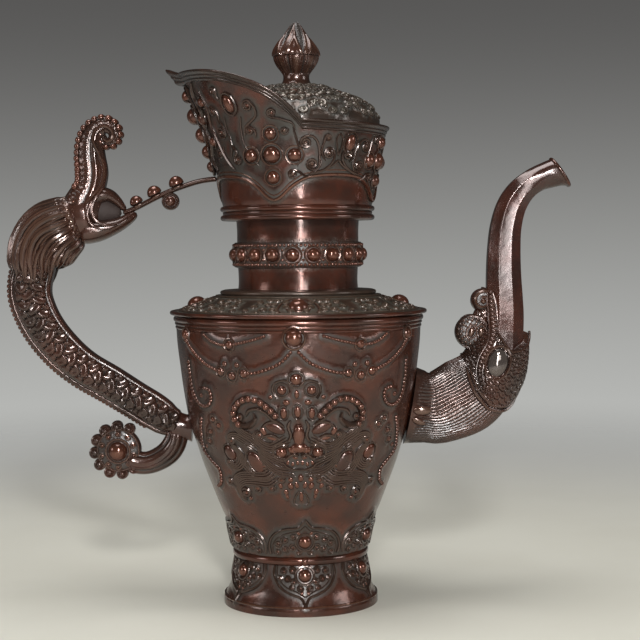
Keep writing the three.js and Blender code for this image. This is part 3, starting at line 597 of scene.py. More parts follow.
def strewn(name, balls, behind=1.0):
    """Beads: each is a matrix that shapes and places it, and its size. behind is how deep their
    backs are."""
    kinds = {"small": ball(8, 5), "middle": ball(12, 7), "large": ball(24, 12)}
    for kind in kinds.values():
        rows = places_of(kind)
        rows[:, 2] = np.where(rows[:, 2] < 0, rows[:, 2] * behind, rows[:, 2])
        put(kind, rows)
    bm = bmesh.new()
    for shape, size in balls:
        one = kinds["large" if size > 2.6 else "middle" if size > 1.5 else "small"].copy()
        one.transform(shape)
        bm.from_mesh(one)
        bpy.data.meshes.remove(one)
    return meshed(name, bm, 0.00001)


def drawn(name, wires, sides=1):
    """Drawn wires: each is places, half thicknesses and whether it closes on itself."""
    curve = bpy.data.curves.new(name, "CURVE")
    curve.dimensions = "3D"
    curve.bevel_depth = 1.0
    curve.bevel_resolution = sides
    curve.use_fill_caps = True
    for spots, widths, closed in wires:
        spline = curve.splines.new("POLY")
        spline.points.add(len(spots) - 1)
        spline.points.foreach_set("co", np.hstack([np.array(spots), np.ones((len(spots), 1))]).ravel())
        spline.points.foreach_set("radius", np.array(widths, float))
        spline.use_cyclic_u = closed
    holder = bpy.data.objects.new(name, curve)
    bpy.context.scene.collection.objects.link(holder)
    raw = bpy.data.meshes.new_from_object(holder.evaluated_get(bpy.context.evaluated_depsgraph_get()))
    bpy.data.objects.remove(holder)
    bm = bmesh.new()
    bm.from_mesh(raw)
    return meshed(name, bm, 0.00001)


def skin(name, arm, pitch, around, relief=None, blunt=(0.0, 0.0), square=1.0, begin=None, end=None):
    """A grid rolled round an arm and closed at both ends. relief gives the height, the dirt with painted
    shade and the brightness with painted highlight at degrees round it and millimetres along it; blunt is
    how far each end is rounded; begin and end say where the skin starts and stops, for degrees round it."""
    steps = max(4, int(arm.long / pitch)) + 2
    bm = bmesh.new()
    bmesh.ops.create_grid(bm, x_segments=steps, y_segments=around, size=1)
    mesh = bpy.data.meshes.new(name)
    bm.to_mesh(mesh)
    bm.free()
    rows = places_of(mesh)
    row = (rows[:, 0] + 1) / 2 * steps
    degrees = (rows[:, 1] + 1) * 180
    first = begin(degrees) if begin else 0.0
    last = end(degrees) if end else arm.long
    along = first + np.clip((row - 1) / (steps - 2), 0, 1) * (last - first)
    full = np.where((row < 0.5) | (row > steps - 0.5), 0.0, 1.0)
    for length, far in ((blunt[0], along - first), (blunt[1], last - along)):
        if length:
            full = full * np.sqrt(np.clip(1 - (1 - np.clip(far / length, 0, 1)) ** 2, 0.0004, 1))
    height, grime_and_shade, crest = relief(degrees, along) if relief else (0, 0, 0)
    put(mesh, arm.points(degrees, along, height + 0 * along, full, square))
    mark(mesh, "grime_and_shade", grime_and_shade + 0 * along)
    mark(mesh, "crest", crest + 0 * along)
    bm = bmesh.new()
    bm.from_mesh(mesh)
    bpy.data.meshes.remove(mesh)
    return meshed(name, bm, 0.002)


def soiled_and_shaded(mesh, face, works, reach, swell):
    """The ground beside the ornament: raised a little under it, and given deposit and painted shade close to
    it.
    """
    marks = [m for work in works for m in work.under]
    tree = kdtree.KDTree(len(marks))
    for k, (spot, size) in enumerate(marks):
        tree.insert(spot, k)
    tree.balance()
    rows = places_of(mesh)
    out = face.outward(rows)
    facing = (directions_of(mesh) * out).sum(1) > 0.3
    grime_and_shade = np.zeros(len(rows), np.float32)
    for k in np.nonzero(facing)[0]:
        which, far = tree.find(rows[k])[1:]
        grime_and_shade[k] = 1 - min(1.0, max(0.0, far - marks[which][1] * 0.7) / reach)
    put(mesh, rows + out * (swell * soft_step(grime_and_shade * 1.3))[:, None])
    mark(mesh, "grime_and_shade", grime_and_shade)


def plain(mesh, grime_and_shade=0.0, crest=0.0):
    """Makes a piece evenly dirty and shaded, and evenly bright with wear and a painted highlight."""
    mark(mesh, "grime_and_shade", np.full(len(mesh.vertices), grime_and_shade))
    mark(mesh, "crest", np.full(len(mesh.vertices), crest))
    return mesh


def hollowed(mesh, strength):
    """Mouldings: deposit and painted shade in the grooves, bare metal and a painted highlight on the edges,
    told from how the face bends.
    """
    bm = bmesh.new()
    bm.from_mesh(mesh)
    bend = np.zeros(len(bm.verts))
    for vert in bm.verts:
        around = [edge.other_vert(vert).co for edge in vert.link_edges]
        middle = sum(around, Vector()) / max(1, len(around))
        bend[vert.index] = (middle - vert.co).dot(vert.normal) / max(0.2, (around[0] - vert.co).length)
    bm.free()
    mark(mesh, "grime_and_shade", np.clip(bend * 4 * strength, 0, 1))
    mark(mesh, "crest", np.clip(-bend * 3.2 * strength, 0, 1))


def moulding(name, nodes, outer, inner, sides, strength, slot="red_copper", finish=moulding_finish,
             step=0.7):
    """A turned moulding, with deposit and painted shade in its grooves and bare metal and a painted
    highlight on its edges.
    """
    mesh = turned(name, straight(outer, step), inner, sides)
    hollowed(mesh, strength)
    show(mesh, finish, nodes, slot=slot, crease=50)


def rolled(*rolls):
    """A moulded outline: each roll is a centre, a radius, and the angles it runs between."""
    return [point for roll in rolls for point in arc(*roll)]


# The vessel

vessel_line = flowing([(35.1, 29.4), (36.5, 36), (38.5, 43.8), (41.9, 51.7), (45.9, 62.1), (49.9, 72.6),
    (53.2, 83), (56.6, 93.4), (58.7, 103.9), (60.3, 114.3), (61.6, 124.8), (62.8, 135.2),
    (63.3, 143.2)], 0.95)
vessel = Round(vessel_line)


def panel_lean(degrees, height):
    """The mask's middle line leans a little on the vessel."""
    return degrees + 0.8 - 2.9 * (height - 60.6) / 81, height


# The strings of beads beside the mask
front_and_back = ways(2)
strings = Chasing(vessel, front_and_back, panel_lean, 0.4)
each(strings.bead, ((0, 141.2, 4.2, 1.3), (60.5, 141.4, 2.8, 1.0), (30.2, 137.7, 2.3, 0.9),
    (24.2, 123.9, 2.3, 0.8), (30.5, 122.5, 2.3, 0.8), (36.6, 124.4, 2.3, 0.8), (27.4, 128, 1.6),
    (33.8, 128.3, 1.6), (43, 97.2, 1.5, 0.6), (53.6, 88.6, 1.5, 0.6), (46.4, 100, 1.5, 0.6),
    (50.4, 93.4, 1.5, 0.6), (52.6, 111.6, 1.5), (58.6, 85.4, 1.4)))
each(strings.string, (
    ([(44.6, 142.2), (40.5, 139.4), (35.5, 137.8), (31, 137.6), (26, 138.4), (19, 140.2),
      (13, 142.2)], 0.95, 2.15),
    ([(1.8, 134.4), (6, 129.8), (11.2, 126.8), (18.3, 124.4), (22, 124)], 1.1),
    ([(38.4, 124.9), (45.7, 127.8), (54.4, 133.8), (59.4, 138.6)], 1.1),
    ([(60, 128), (60.4, 120.6), (59, 111.6), (54.4, 106.8), (48.4, 106.8), (45, 110.4), (45.4, 114.6),
      (48.9, 115.6)], 1.15),
    ([(56, 99.6), (60, 91.6), (63.2, 83), (58, 78), (52.4, 73.6), (55, 67.4), (60, 64.8)], 1.15)))

# The mask: crest, horns, brows, nose, eyes, mouth, hair and beard
mask = Chasing(vessel, front_and_back, panel_lean, 0.5, 1.45)
each(mask.bead, ((0, 121.3, 3.0, 1.0, 0.8), (6.8, 116, 2.5, 0.9, 0.8), (0, 114, (1.3, 2.3), 0, 0.8),
    (5, 110, (2.0, 1.6), 0, 0.6), (0, 105.4, (1.8, 3.0), 0.7, 0.7), (6.6, 104.7, (1.8, 3.0), 0.7, 0.7),
    (12.2, 112.6, 1.3), (17.4, 95.4, (1.6, 2.6), 0, 0.6, 160), (13.0, 92.2, (1.3, 3.0), 0, 0.6, 100),
    (0, 93.6, (3.0, 5.6)), (0, 87.3, (4.2, 2.8), 0, 0.8), (3.4, 86.4, (2.6, 2.0), 0, 0.8),
    (9.3, 85.1, 2.8, 1.3, 0.85), (2.4, 82.4, (1.5, 1.1), 0, 0.7), (1.3, 79.5, (1.0, 1.3), 0, 0.7),
    (3.9, 79.0, (1.0, 1.3), 0, 0.7), (6.6, 79.7, (1.0, 1.3), 0, 0.7), (33, 60.3, 1.3),
    (0, 71.8, (1.5, 2.2), 0, 0.8), (0, 61.8, (1.1, 2.8), 0, 0.7)))
each(mask.bead, ((6, 67.7, (1.6, 2.1)), (2.4, 68, (1.2, 1.9)), (9, 64.4, (1.3, 1.8)),
    (12, 67.6, (1.2, 1.7)), (5.7, 71, (1.4, 1.5)), (8.6, 62.1, (1.0, 1.6))), rise=0.7, tilt=-15)
horn = [(10.4, 103.6), (12.2, 105.6), (15.8, 108.9), (20, 111.3), (25.1, 111.1), (29.9, 107.8),
    (31.8, 102.7), (29.7, 98.8), (24.8, 98.3), (20.9, 101.3), (21.4, 104.8)]
mask.wire(horn, 2.0, (0.9, 0.35), lift=0.1)
mask.string(horn[:8], 1.75, 2.6, lift=0.75, rise=0.9)
thin = (0.3, 0.3)
each(mask.wire, (
    ([(1.5, 118.4), (5, 120.8), (9.8, 119.4), (11, 115.6), (9, 112)], 0.7),
    ([(8.4, 100.4), (11.6, 101.4), (15, 104.6), (19, 106.6), (23.6, 105.6), (25.4, 102.6)], 1.1, thin),
    ([(3.4, 101.4), (4.8, 98.2), (3.8, 93.6), (5.4, 90.6)], 1.0, (0.4, 0.5)),
    ([(0.6, 83.2), (3.6, 84.2), (6.2, 82.4), (8.6, 80.8)], 1.1, (0.8, 0.4)),
    ([(5, 88.6), (8.4, 90), (12.4, 88.6), (14.6, 85.4)], 0.8, thin),
    ([(5.6, 82.2), (9.4, 80.9), (13.4, 82.4)], 0.7, thin),
    ([(0, 76.2), (3.4, 76.3), (7.4, 78), (9, 80.2)], 0.8, (1, 0.3)),
    ([(0.8, 65.4), (3.4, 62.2), (4.6, 58.8), (2, 57.2)], 0.6, thin)))
for out, down in ((0, 0), (2.4, 6.6)):
    mask.wire([(6.4 + out, 97.6 - down), (10 + out, 100.2 - down), (14.6 + out, 99.8 - down),
               (18.4, 96.8 - down * 0.8)], 0.95, thin)
for lock in (
        ((12.4, 85.9), (18.5, 87.8), (23.2, 91.7), (28.2, 94.4), (32.2, 98.2), (31, 101)),
        ((5.5, 92.2), (8.7, 90.1), (14.2, 87.9), (19.2, 89.8), (21.7, 93.8), (19.5, 95.6)),
        ((6.7, 79.4), (12.9, 81.8), (17, 83.7), (20, 85.7), (21.5, 88.4)),
        ((2.7, 74.8), (10.4, 75.2), (15.7, 77.6), (19.6, 81.6), (21, 84.6)),
        ((22, 86.5), (27, 89.6), (32.5, 92.6), (36.6, 92), (37, 88.8)),
        ((24, 73), (28.6, 76), (31.4, 80), (33.4, 85), (38, 88.2)),
        ((12, 73.6), (18.5, 69.8), (26, 69.8), (34, 69.3), (39.8, 65.8), (39, 61.5), (36, 60)),
        ((14, 76.2), (19.6, 73), (26.5, 72.8), (33, 72.8), (39, 71), (43.6, 66.2)),
        ((31, 83.2), (33.4, 78.6), (36.8, 76.6), (40.6, 77.6), (41.4, 80.2))):
    mask.strands(lock)
each(mask.curl, ((19.6, 93.6, 1.9, 200, 1), (36.3, 90.2, 2.1, 120, -1), (35.2, 63.2, 2.6, 90, -1),
                 (26.4, 66, 1.9, 250, 1), (10.6, 70.8, 1.8, 90, 1), (41.2, 79, 1.8, 200, -1),
                 (28.8, 102.6, 2.0, 0, 1), (19.6, 78, 1.8, 30, 1), (17.4, 66.2, 1.8, 140, 1),
                 (45.6, 68.8, 1.8, 300, 1)))
cheeks = Chasing(vessel, front_and_back, panel_lean, 0.5, 1.45)
each(cheeks.bead, ((11.4, 97.2, (5.4, 2.6), 0, 0.5, 24), (24.3, 79.6, (3.7, 6.0), 0.9, 0.45, -28),
                   (39.4, 83.6, (3.2, 4.0), 0.9, 0.55, -20)))


def petal_work(face, ground, beads, outer, inner, curls):
    """The ornament of one petal and the gap beside it, six times round a face."""
    work = Chasing(face, ways(6, 3.3), None, ground, 1.3)
    each(work.bead, beads)
    work.wire(*outer)
    work.wire(*inner)
    each(work.curl, curls, turns=1.4, width=0.5, knob=1.2)
    return work


lower_petals = petal_work(vessel, 0.35, ((0, 37.4, 3.4, 1.2, 0.8), (4.6, 42, (1.0, 1.6), 0, 0.6, -40)),
    ([(27.6, 31), (28.4, 35), (25.8, 39.6), (20, 43), (12.5, 44.6), (5, 45.4), (0, 49.6)], 0.85,
    (1, 0.7)), ([(25, 31), (25.6, 34.6), (22.8, 38.2), (17.4, 41), (10, 42.6), (4, 43.4), (0, 46)],
    0.45), ((8.8, 40.2, 1.9, 180, 1), (15.4, 38.4, 2.0, 60, -1), (9.4, 34.6, 1.9, 0, 1),
    (15.4, 33.6, 1.8, 120, 1), (20.8, 36.4, 1.7, 200, 1), (21.4, 32.2, 1.6, 300, -1),
    (4.6, 32, 1.4, 90, 1)))
vessel_mesh = turned("vessel", vessel_line,
                     [(61.6, 143.2), (60, 120), (55, 93), (44, 62), (34, 32), (33.4, 29.4)], 400)
soiled_and_shaded(vessel_mesh, vessel, [mask, cheeks, strings, lower_petals], 3.4, 0.55)
show(vessel_mesh, body_finish, ("vessel_body",))
show_work(mask, "mask_wires", scroll_finish, "mask_beads", bead_finish)
show(cheeks.wires_mesh("mask_cheek_rings"), scroll_finish)
show(plain(cheeks.balls_mesh("mask_cheeks")), body_finish)
show_work(strings, "swag_rings", ornament_finish, "swag_beads", bead_finish)
show_work(lower_petals, "lower_petal_wires", scroll_finish, "lower_petal_beads", bead_finish)


# The foot and the ring on its seam

foot_line = flowing([(40.1, 0), (40.1, 1.4), (40.0, 3), (39.3, 4.7), (36.8, 9.9), (35.5, 15.1), (33.9, 23),
                     (33.6, 24.6)], 0.9)
foot = Round(foot_line)
foot_petals = petal_work(foot, 0.25, ((0, 19.8, 3.4, 1.3, 0.8), (2.6, 11.2, (0.9, 1.5), 0, 0.6, 20)),
    ([(25.4, 25.2), (26, 20.6), (22, 15.4), (16.5, 12.4), (9, 10.2), (3, 8.6), (0, 4.6)], 0.8),
    ([(23, 24.6), (23.2, 20.6), (19.4, 16.4), (13.6, 13.6), (7, 12), (0, 9.4)], 0.42),
    ((10.6, 22.4, 1.9, 180, -1), (8.8, 16.8, 1.9, 60, 1), (17.4, 22, 1.9, 30, 1),
    (14.6, 18.2, 1.7, 200, -1), (3.4, 13.6, 1.7, 300, 1), (20.4, 18.4, 1.4, 90, 1),
    (10.6, 13.8, 1.4, 150, -1)))
foot_border = Chasing(foot)
foot_border.wire([(d, 4.5) for d in range(0, 360, 2)], 0.7, smooth=False, closed=True)
foot_mesh = turned("foot", foot_line, [(32.2, 24.6), (32.6, 20), (34, 14), (36, 8), (38.6, 1.4),
    (38.8, 0)], 300)
soiled_and_shaded(foot_mesh, foot, [foot_petals], 3.4, 0.35)
show(foot_mesh, body_finish, ("foot_ring",))
show_work(foot_petals, "foot_petal_wires", scroll_finish, "foot_petal_beads", bead_finish)
show(foot_border.wires_mesh("foot_border"), moulding_finish)
moulding("foot_seam_roll", ("foot_seam_ring",), arc((32.9, 27), 2.55, -88, 88, 14),
    [(32.4, 29.4), (32.4, 24.6)], 260, 0.5)
seam_beads = []
for turn in (3.3, 183.3):
    seam_place = Matrix.Rotation(math.radians(turn), 4, "Z") @ Matrix.Translation((0, -35.3, 27))
    seam_beads.append((seam_place @ Matrix.Diagonal((1.7, 1.5, 2.0, 1)), 2))
show(plain(strewn("foot_seam_beads", seam_beads), 0, 0.3), bead_finish)


# The mouth of the vessel and its shoulder

mouth_rolls = rolled(((62.9, 144.2), 0.9, -60, 60), ((63.3, 146.1), 0.8, -60, 60),
    ((63.2, 148.4), 1.6, -60, 75))
moulding("mouth_rolls", ("mouth_ring",), [(63.2, 143.2)] + mouth_rolls + [(63.4, 150.2)],
         [(61, 150.2), (61, 143.2)], 300, 0.8, step=0.5)
lip = rolled(((65.7, 151.5), 0.85, -100, 75))
shoulder_line = straight([(63.2, 150.2)] + lip + [(65, 152.5), (64.2, 152.0), (62.8, 151.9), (61.6, 152.3),
                                                 (46, 157.9), (40, 160.3)], 0.6)
shoulder = Round(flowing([(64, 151.6), (60, 152.8), (46, 157.9), (40, 160.3)], 0.8), "radius")
shoulder_work = Chasing(shoulder, ways(12), None, 0.35, 1.35)
shoulder_work.wire([(0, 61.6), (7, 61.6), (15, 61.6)], 0.6)
shoulder_work.wire([(0, 42.4), (8, 42.4), (15, 42.4)], 0.6)
each(shoulder_work.curl, ((12.6, 57.4, 2.3, 200, 1), (6, 54, 1.9, 30, -1), (13.4, 51.6, 2.0, 90, 1),
                          (7, 48.4, 1.7, 300, -1), (12.6, 46.2, 1.6, 10, 1), (3.6, 58.6, 1.6, 120, 1)))
shoulder_work.bead(9.6, 59.6, (0.9, 1.6), 0, 0.6, 60)
shoulder_work.bead(10, 44.6, (0.8, 1.4), 0, 0.6, 20)
quarters = Chasing(shoulder, ways(4))
quarters.wire([(8.5, 60.5), (10.5, 56), (10, 50), (7, 45.5), (0, 43.4)], 0.8)
quarters.wire([(11.5, 60.8), (13.2, 56), (12.6, 49), (16, 44)], 0.6, (1, 0.4))
shoulder_mesh = turned("shoulder", shoulder_line, [(30.2, 160.3), (30.2, 158.8), (58, 150.2)], 300)
soiled_and_shaded(shoulder_mesh, shoulder, [shoulder_work], 3.0, 0.25)
show(shoulder_mesh, shoulder_finish, ("shoulder_plate",), slot="dark_copper")
moulding("shoulder_edge", (), arc((65.6, 151.5), 1.0, -100, 85, 12), [(65.6, 152.3), (65.6, 150.7)],
    300, 0.2, step=0.4)
show_work(shoulder_work, "shoulder_scrolls", shoulder_finish, "shoulder_knobs", shoulder_finish,
    slot="dark_copper")
show(quarters.wires_mesh("shoulder_cartouches"), ornament_finish, slot="dark_copper")
for turn, way in ((90, "spout"), (180, "back"), (270, "handle"), (0, "front")):
    boss = Chasing(shoulder, ((turn, 1),))
    boss.bead(0, 52.7, 5.0, 1.3, 0.85)
    show(boss.wires_mesh("boss_ring_" + way), ornament_finish)
    show(boss.balls_mesh("boss_" + way), bead_finish, ("shoulder_boss_" + way,), slot="red_copper")


# The neck and its beaded band

step_edge = list(straight([(30.2, 160.3), (39.6, 160.3)])) + arc((39.5, 161.6), 1.0, -80, 80)
moulding("neck_step", ("neck_flange",), step_edge + [(38.6, 162.9), (34, 162.9), (31.6, 163.4)],
    [(30.2, 163.4)], 220, 0.8, "brown_copper", shoulder_finish)
neck_line = flowing([(31.3, 160.6), (31.0, 164), (30.8, 168), (31.0, 174), (31.2, 181), (31.4, 188),
    (31.4, 193), (31.7, 198.4)], 0.9)
neck_mesh = turned("neck", neck_line, [(29.7, 198.4), (29.7, 160.6)], 220)
band_line = flowing([(31.6, 174.3), (32.6, 174.6), (33.1, 175.4), (33.2, 177), (33.2, 181), (33.2, 184.8),
                     (33.1, 186.4), (32.6, 187.2), (31.6, 187.4)], 0.7)
band = Round(band_line[3:-3])
band_work = Chasing(band, ways(20, -4.5, (1,)))
each(band_work.bead, ((0, 180.9, 3.5, 1.0, 0.8), (9, 183.4, 0.8), (9, 178.4, 0.8)))
for height in (175.9, 185.9):
    for degrees in (0, 3.6, 7.2, 10.8, 14.4):
        band_work.bead(degrees, height, 0.95, rise=0.9)
band_mesh = turned("neck_band", band_line, [], 220)
soiled_and_shaded(band_mesh, band, [band_work], 2.4, 0.1)
soiled_and_shaded(neck_mesh, Round(neck_line), [band_work], 5.0, 0.0)
show(neck_mesh, moulding_finish, ("neck_tube",))
show(band_mesh, body_finish, ("neck_band",))
show_work(band_work, "neck_band_rings", ornament_finish, "neck_band_beads", bead_finish)


# The collar: base rolls, wall, the raised work called the apron, and rim

base_rolls = rolled(((38.4, 199.9), 1.5, -90, 60), ((37.6, 202.2), 1.1, -40, 40),
    ((38.5, 204.4), 1.45, -60, 88))
moulding("collar_base_rolls", ("collar_base_ring",), [(31.8, 198.4)] + base_rolls,
         [(36.5, 205.9), (30, 205.9), (30, 198.4)], 240, 0.8)
collar_line = flowing([(38.4, 205.7), (39.1, 208.6), (39.6, 216), (40.8, 224), (44, 240), (47, 248.7),
    (49.5, 255), (54.5, 266), (59, 273), (61.5, 277)], 0.9)

# The rim's height towards the spout, how far below it the wall and the apron end, the height above
# which the wall is stretched, the apron's foot and radius before it is bent, and the lappets' turn
low_rim = 248.7
wall_gap = 1.5
apron_gap = 3.5
wall_bend = 219.5
apron_foot = 220
apron_radius = 45.0
lappet_turn = 16.6


def rim_height(degrees):
    """How high the rim is: level towards the spout, then rising in a guard over the handle."""
    past = np.clip((away(90 - degrees) - 87) / 93, 0, 1)
    sag = np.clip(1.4 + 2.0 * np.sin(np.radians(degrees)), 0, 4)
    return low_rim + 24.3 * (1 - (1 - past) ** 3.8) - sag


def bent(mesh, shape):
    """Moves the points of a turned piece to the radius and height that the shape gives."""
    rows = places_of(mesh)
    radius, angle = polar(rows)
    new_radius, new_height = shape(radius, np.degrees(angle), rows[:, 2])
    put(mesh, np.stack([rows[:, 0] / radius * new_radius, rows[:, 1] / radius * new_radius,
                        new_height], 1))


def collar_radius(height):
    return np.interp(height, collar_line[:, 1], collar_line[:, 0])


def wall_shape(radius, degrees, height):
    """The wall, stretched up to the rim."""
    depth = collar_radius(height) - radius
    stretch = (rim_height(degrees) - wall_gap - wall_bend) / (low_rim - wall_gap - wall_bend)
    risen = np.where(height > wall_bend, wall_bend + (height - wall_bend) * stretch, height)
    return collar_radius(risen) - depth, risen


def lappet_edge(degrees):
    """The lower edge of the raised work, which drops to four points."""
    off = np.abs((degrees + lappet_turn + 45) % 90 - 45)
    return np.interp(off, [0, 3, 6.5, 13, 22, 33, 45], [207.5, 208.2, 209.9, 214.2, 218, 219.6, 220])


def apron_shape(radius, degrees, height):
    """The sleeve of raised work between its edge and the rim."""
    share = (height - apron_foot) / (low_rim - apron_gap - apron_foot)
    bottom = lappet_edge(degrees)
    risen = bottom + share * (rim_height(degrees) - apron_gap - bottom)
    return collar_radius(risen) + radius - apron_radius, risen


def rim_shape(radius, degrees, height):
    """The rim follows the top of the wall and runs out in a beak over the handle."""
    beak = np.clip(1 - away(degrees + 90) / 10, 0, 1) ** 1.4
    risen = height + rim_height(degrees) - low_rim + beak * (2.6 + (height - low_rim) * 0.5)
    return collar_radius(risen - beak * 2) + radius - apron_radius + beak * 5.6, risen


def on_the_guard(degrees, height):
    """Over the handle the wall is taller, and the work is spread up it."""
    handle_side = soft_step((away(degrees + 90) - 60) / -35)
    more = (rim_height(degrees) - low_rim) * (height - 208) / (low_rim - 208)
    return degrees, height + float(np.where(more > 0, more * handle_side, more * 1.25))


wall_outer = collar_line[collar_line[:, 1] < 247.3]
wall_mesh = turned("collar_wall", wall_outer, [(r - 1.4, z) for r, z in wall_outer[::-2]], 360)
bent(wall_mesh, wall_shape)
apron_face = Round(collar_line + [0.9, 0])
lappets = ways(4, -lappet_turn)
cross = Chasing(apron_face, lappets, on_the_guard)
each(cross.bead, ((0, 240.6, 3.2, 1.0, 0.85), (0, 230.4, 4.4, 1.1, 0.8), (0, 219.3, 3.4, 1.0, 0.85),
                  (15.0, 230.1, 3.5, 1.0, 0.85)))

# Each scroll here is a place, a size, its turns, the angle it leaves at, its hand and its tail
scroll_ways = ((-16.6, 1), (73.4, -1), (73.4, 1), (163.4, -1), (163.4, 1))
scrolls = Chasing(apron_face, scroll_ways, on_the_guard, 0.3, 1.2)
each(scrolls.run_on, (
    (8.9, 242.0, 2.1, 1.5, 40, 1, ()),
    (22.3, 237.6, 2.8, 1.7, 95, -1, ((2.6, 3.2), (5.2, 1.2), (6.6, -3.0), (6.9, -8.0), (6.2, -12.5),
                                     (3.4, -15.2))),
    (26.6, 226.8, 2.7, 1.7, -80, 1, ((2.6, -2.6), (4.3, -0.2), (5.0, 2.6))),
    (38.1, 232.6, 2.8, 1.7, 5, -1, ((2.6, -3.0), (-0.2, -6.6), (-5.0, -9.4), (-11.5, -11.2))),
    (36.8, 240.6, 1.6, 1.4, 180, 1, ((-2.0, -2.0), (-2.9, -5.0), (-2.6, -8.4), (-0.6, -11.4))),
    (13.6, 220.8, 2.1, 1.5, 70, -1, ((3.0, 1.4), (5.6, -0.6), (8.2, -1.6)))), width=0.62)
each(scrolls.wire, (
    ([(14.2, 243.6), (16.2, 238.6), (17.8, 233.4), (18.6, 228), (16.8, 224.6)], 0.62, (0.3, 0.4)),
    ([(24, 221.6), (33, 223.4), (40.4, 226), (45, 229.4)], 0.7, (0.3, 0.7)),
    ([(45, 231.4), (43.4, 236), (42.8, 240.4), (45, 243.6)], 0.6, (0.7, 0.4))))
lappet_ridge = [(0, 208.1), (3, 208.8), (6.5, 210.6), (13, 214.9), (22, 218.6), (33, 220.2), (45, 220.6)]
edge_ridge = Chasing(apron_face, lappets)
edge_ridge.wire(lappet_ridge, 0.95, lift=0.0)
edge_ridge.wire([(d, h + 2.3) for d, h in lappet_ridge], 0.42, lift=0.0)
guard = Chasing(apron_face, ((0, 1), (180, -1)), None, 0.3, 1.5)
each(guard.bead, ((-41, 255.6, (2.9, 4.7), 1.2, 0.75, 12), (-75.4, 250.5, 3.4, 0.9, 0.9),
    (-66.5, 258, 2.4, 0.8, 0.9), (-70, 238.5, 2.6, 0.8, 0.9), (36.6, 236.2, (2.9, 4.4), 1.2, 0.7, -14),
    (-90, 263.5, 3.7, 1.2, 1.05, 0, 1.0), (-88, 253.6, 4.5, 1.2, 1.05, 0, 2.0),
    (-93, 243.6, 4.2, 1.2, 1.05, 0, 1.8), (-88, 234.6, 3.7, 1.2, 1.05, 0, 1.3),
    (-94, 226.8, 3.0, 1.2, 1.05, 0, 1.0)))
each(guard.wire, (([(-68, 268), (-74, 262), (-72, 254), (-77, 246), (-73, 238), (-77, 231), (-71, 224)],
    1.5, (0.4, 0.5)), ([(-83, 268), (-81, 259), (-83, 250), (-80, 242), (-84, 234), (-80, 226)], 1.7,
    (0.4, 0.5)), ([(-34.6, 249.4), (-36.6, 243), (-36, 236.6), (-31, 229.6), (-25.4, 224.6)], 0.5,
    (0.4, 0.4)), ([(-64, 263), (-62, 254), (-64.6, 246), (-61, 238), (-55, 230), (-47, 223.4)], 0.8,
    (0.5, 0.5)), ([(-47.6, 250), (-48.4, 243), (-46.4, 236), (-49, 230)], 0.5, (0.5, 0.5))))
each(guard.run_on, ((-14.5, 250.6, 2.1, 1.5, -95, 1, ((2.6, -2.8), (6.6, -4.0), (9.8, -5.6),
    (10.9, -9.0))), (-28.7, 254.4, 2.5, 1.6, 60, -1, ((3.8, -1.4), (3.6, -5.4), (0.4, -8.2),
    (-3.4, -11.2), (-4.4, -15.4))), (-30.0, 242.6, 1.9, 1.4, 100, -1, ((2.8, -0.4), (2.6, -4.0))),
    (-42.6, 228.6, 2.2, 1.5, 150, -1, ((-0.4, 3.8), (-2.8, 7.4), (-3.0, 12.0))),
    (-57.4, 253.2, 2.2, 1.5, 80, -1, ((3.2, 0.2), (3.6, -4.0), (1.6, -7.0))),
    (-54.4, 242.6, 2.8, 1.6, -20, 1, ((2.6, 3.2), (0.6, 6.4))),
    (-61.4, 232.6, 2.0, 1.4, -90, 1, ((3.0, -0.6), (4.4, 3.4))),
    (-50, 262.4, 1.8, 1.4, -10, -1, ((1.4, -3.2), (3.4, -5.4)))), width=0.5)
apron_top = low_rim - apron_gap
apron_mesh = turned("collar_apron", straight([(45.9, apron_foot), (45.9, apron_top)], 0.85),
                    straight([(45.1, apron_top), (45.1, apron_foot)], 1.7), 380)
bent(apron_mesh, apron_shape)
soiled_and_shaded(apron_mesh, apron_face, [cross, scrolls, edge_ridge, guard], 4.2, 0.12)
soiled_and_shaded(wall_mesh, Round(collar_line), [edge_ridge], 4.0, 0.0)
show(wall_mesh, moulding_finish, ("collar_wall",), slot="red_copper")
show(apron_mesh, collar_finish, ("collar_apron",))
show(cross.wires_mesh("lappet_rings"), ornament_finish)
show(cross.balls_mesh("lappet_beads"), bead_finish, slot="red_copper")
show_work(scrolls, "collar_scrolls", scroll_finish, "collar_scroll_knobs", ornament_finish)
show(edge_ridge.wires_mesh("lappet_ridges"), moulding_finish)
show_work(guard, "guard_scrolls", scroll_finish, "guard_beads", bead_finish)
rim_rolls = rolled(((45.9, low_rim - 3.9), 0.7, -70, 60), ((46.2, low_rim - 2.2), 0.55, -60, 60),
                   ((46.3, low_rim - 0.2), 0.95, -50, 88))
rim_mesh = turned("collar_rim", straight([(45.7, low_rim - 4.8)] + rim_rolls, 0.5),
                  [(44.6, low_rim + 0.6), (43.8, low_rim - 0.2), (43.8, low_rim - 4.8)], 400)
hollowed(rim_mesh, 0.9)
bent(rim_mesh, rim_shape)
show(rim_mesh, scroll_finish, ("collar_rim",), slot="red_copper", crease=60)


# The lid and its finial

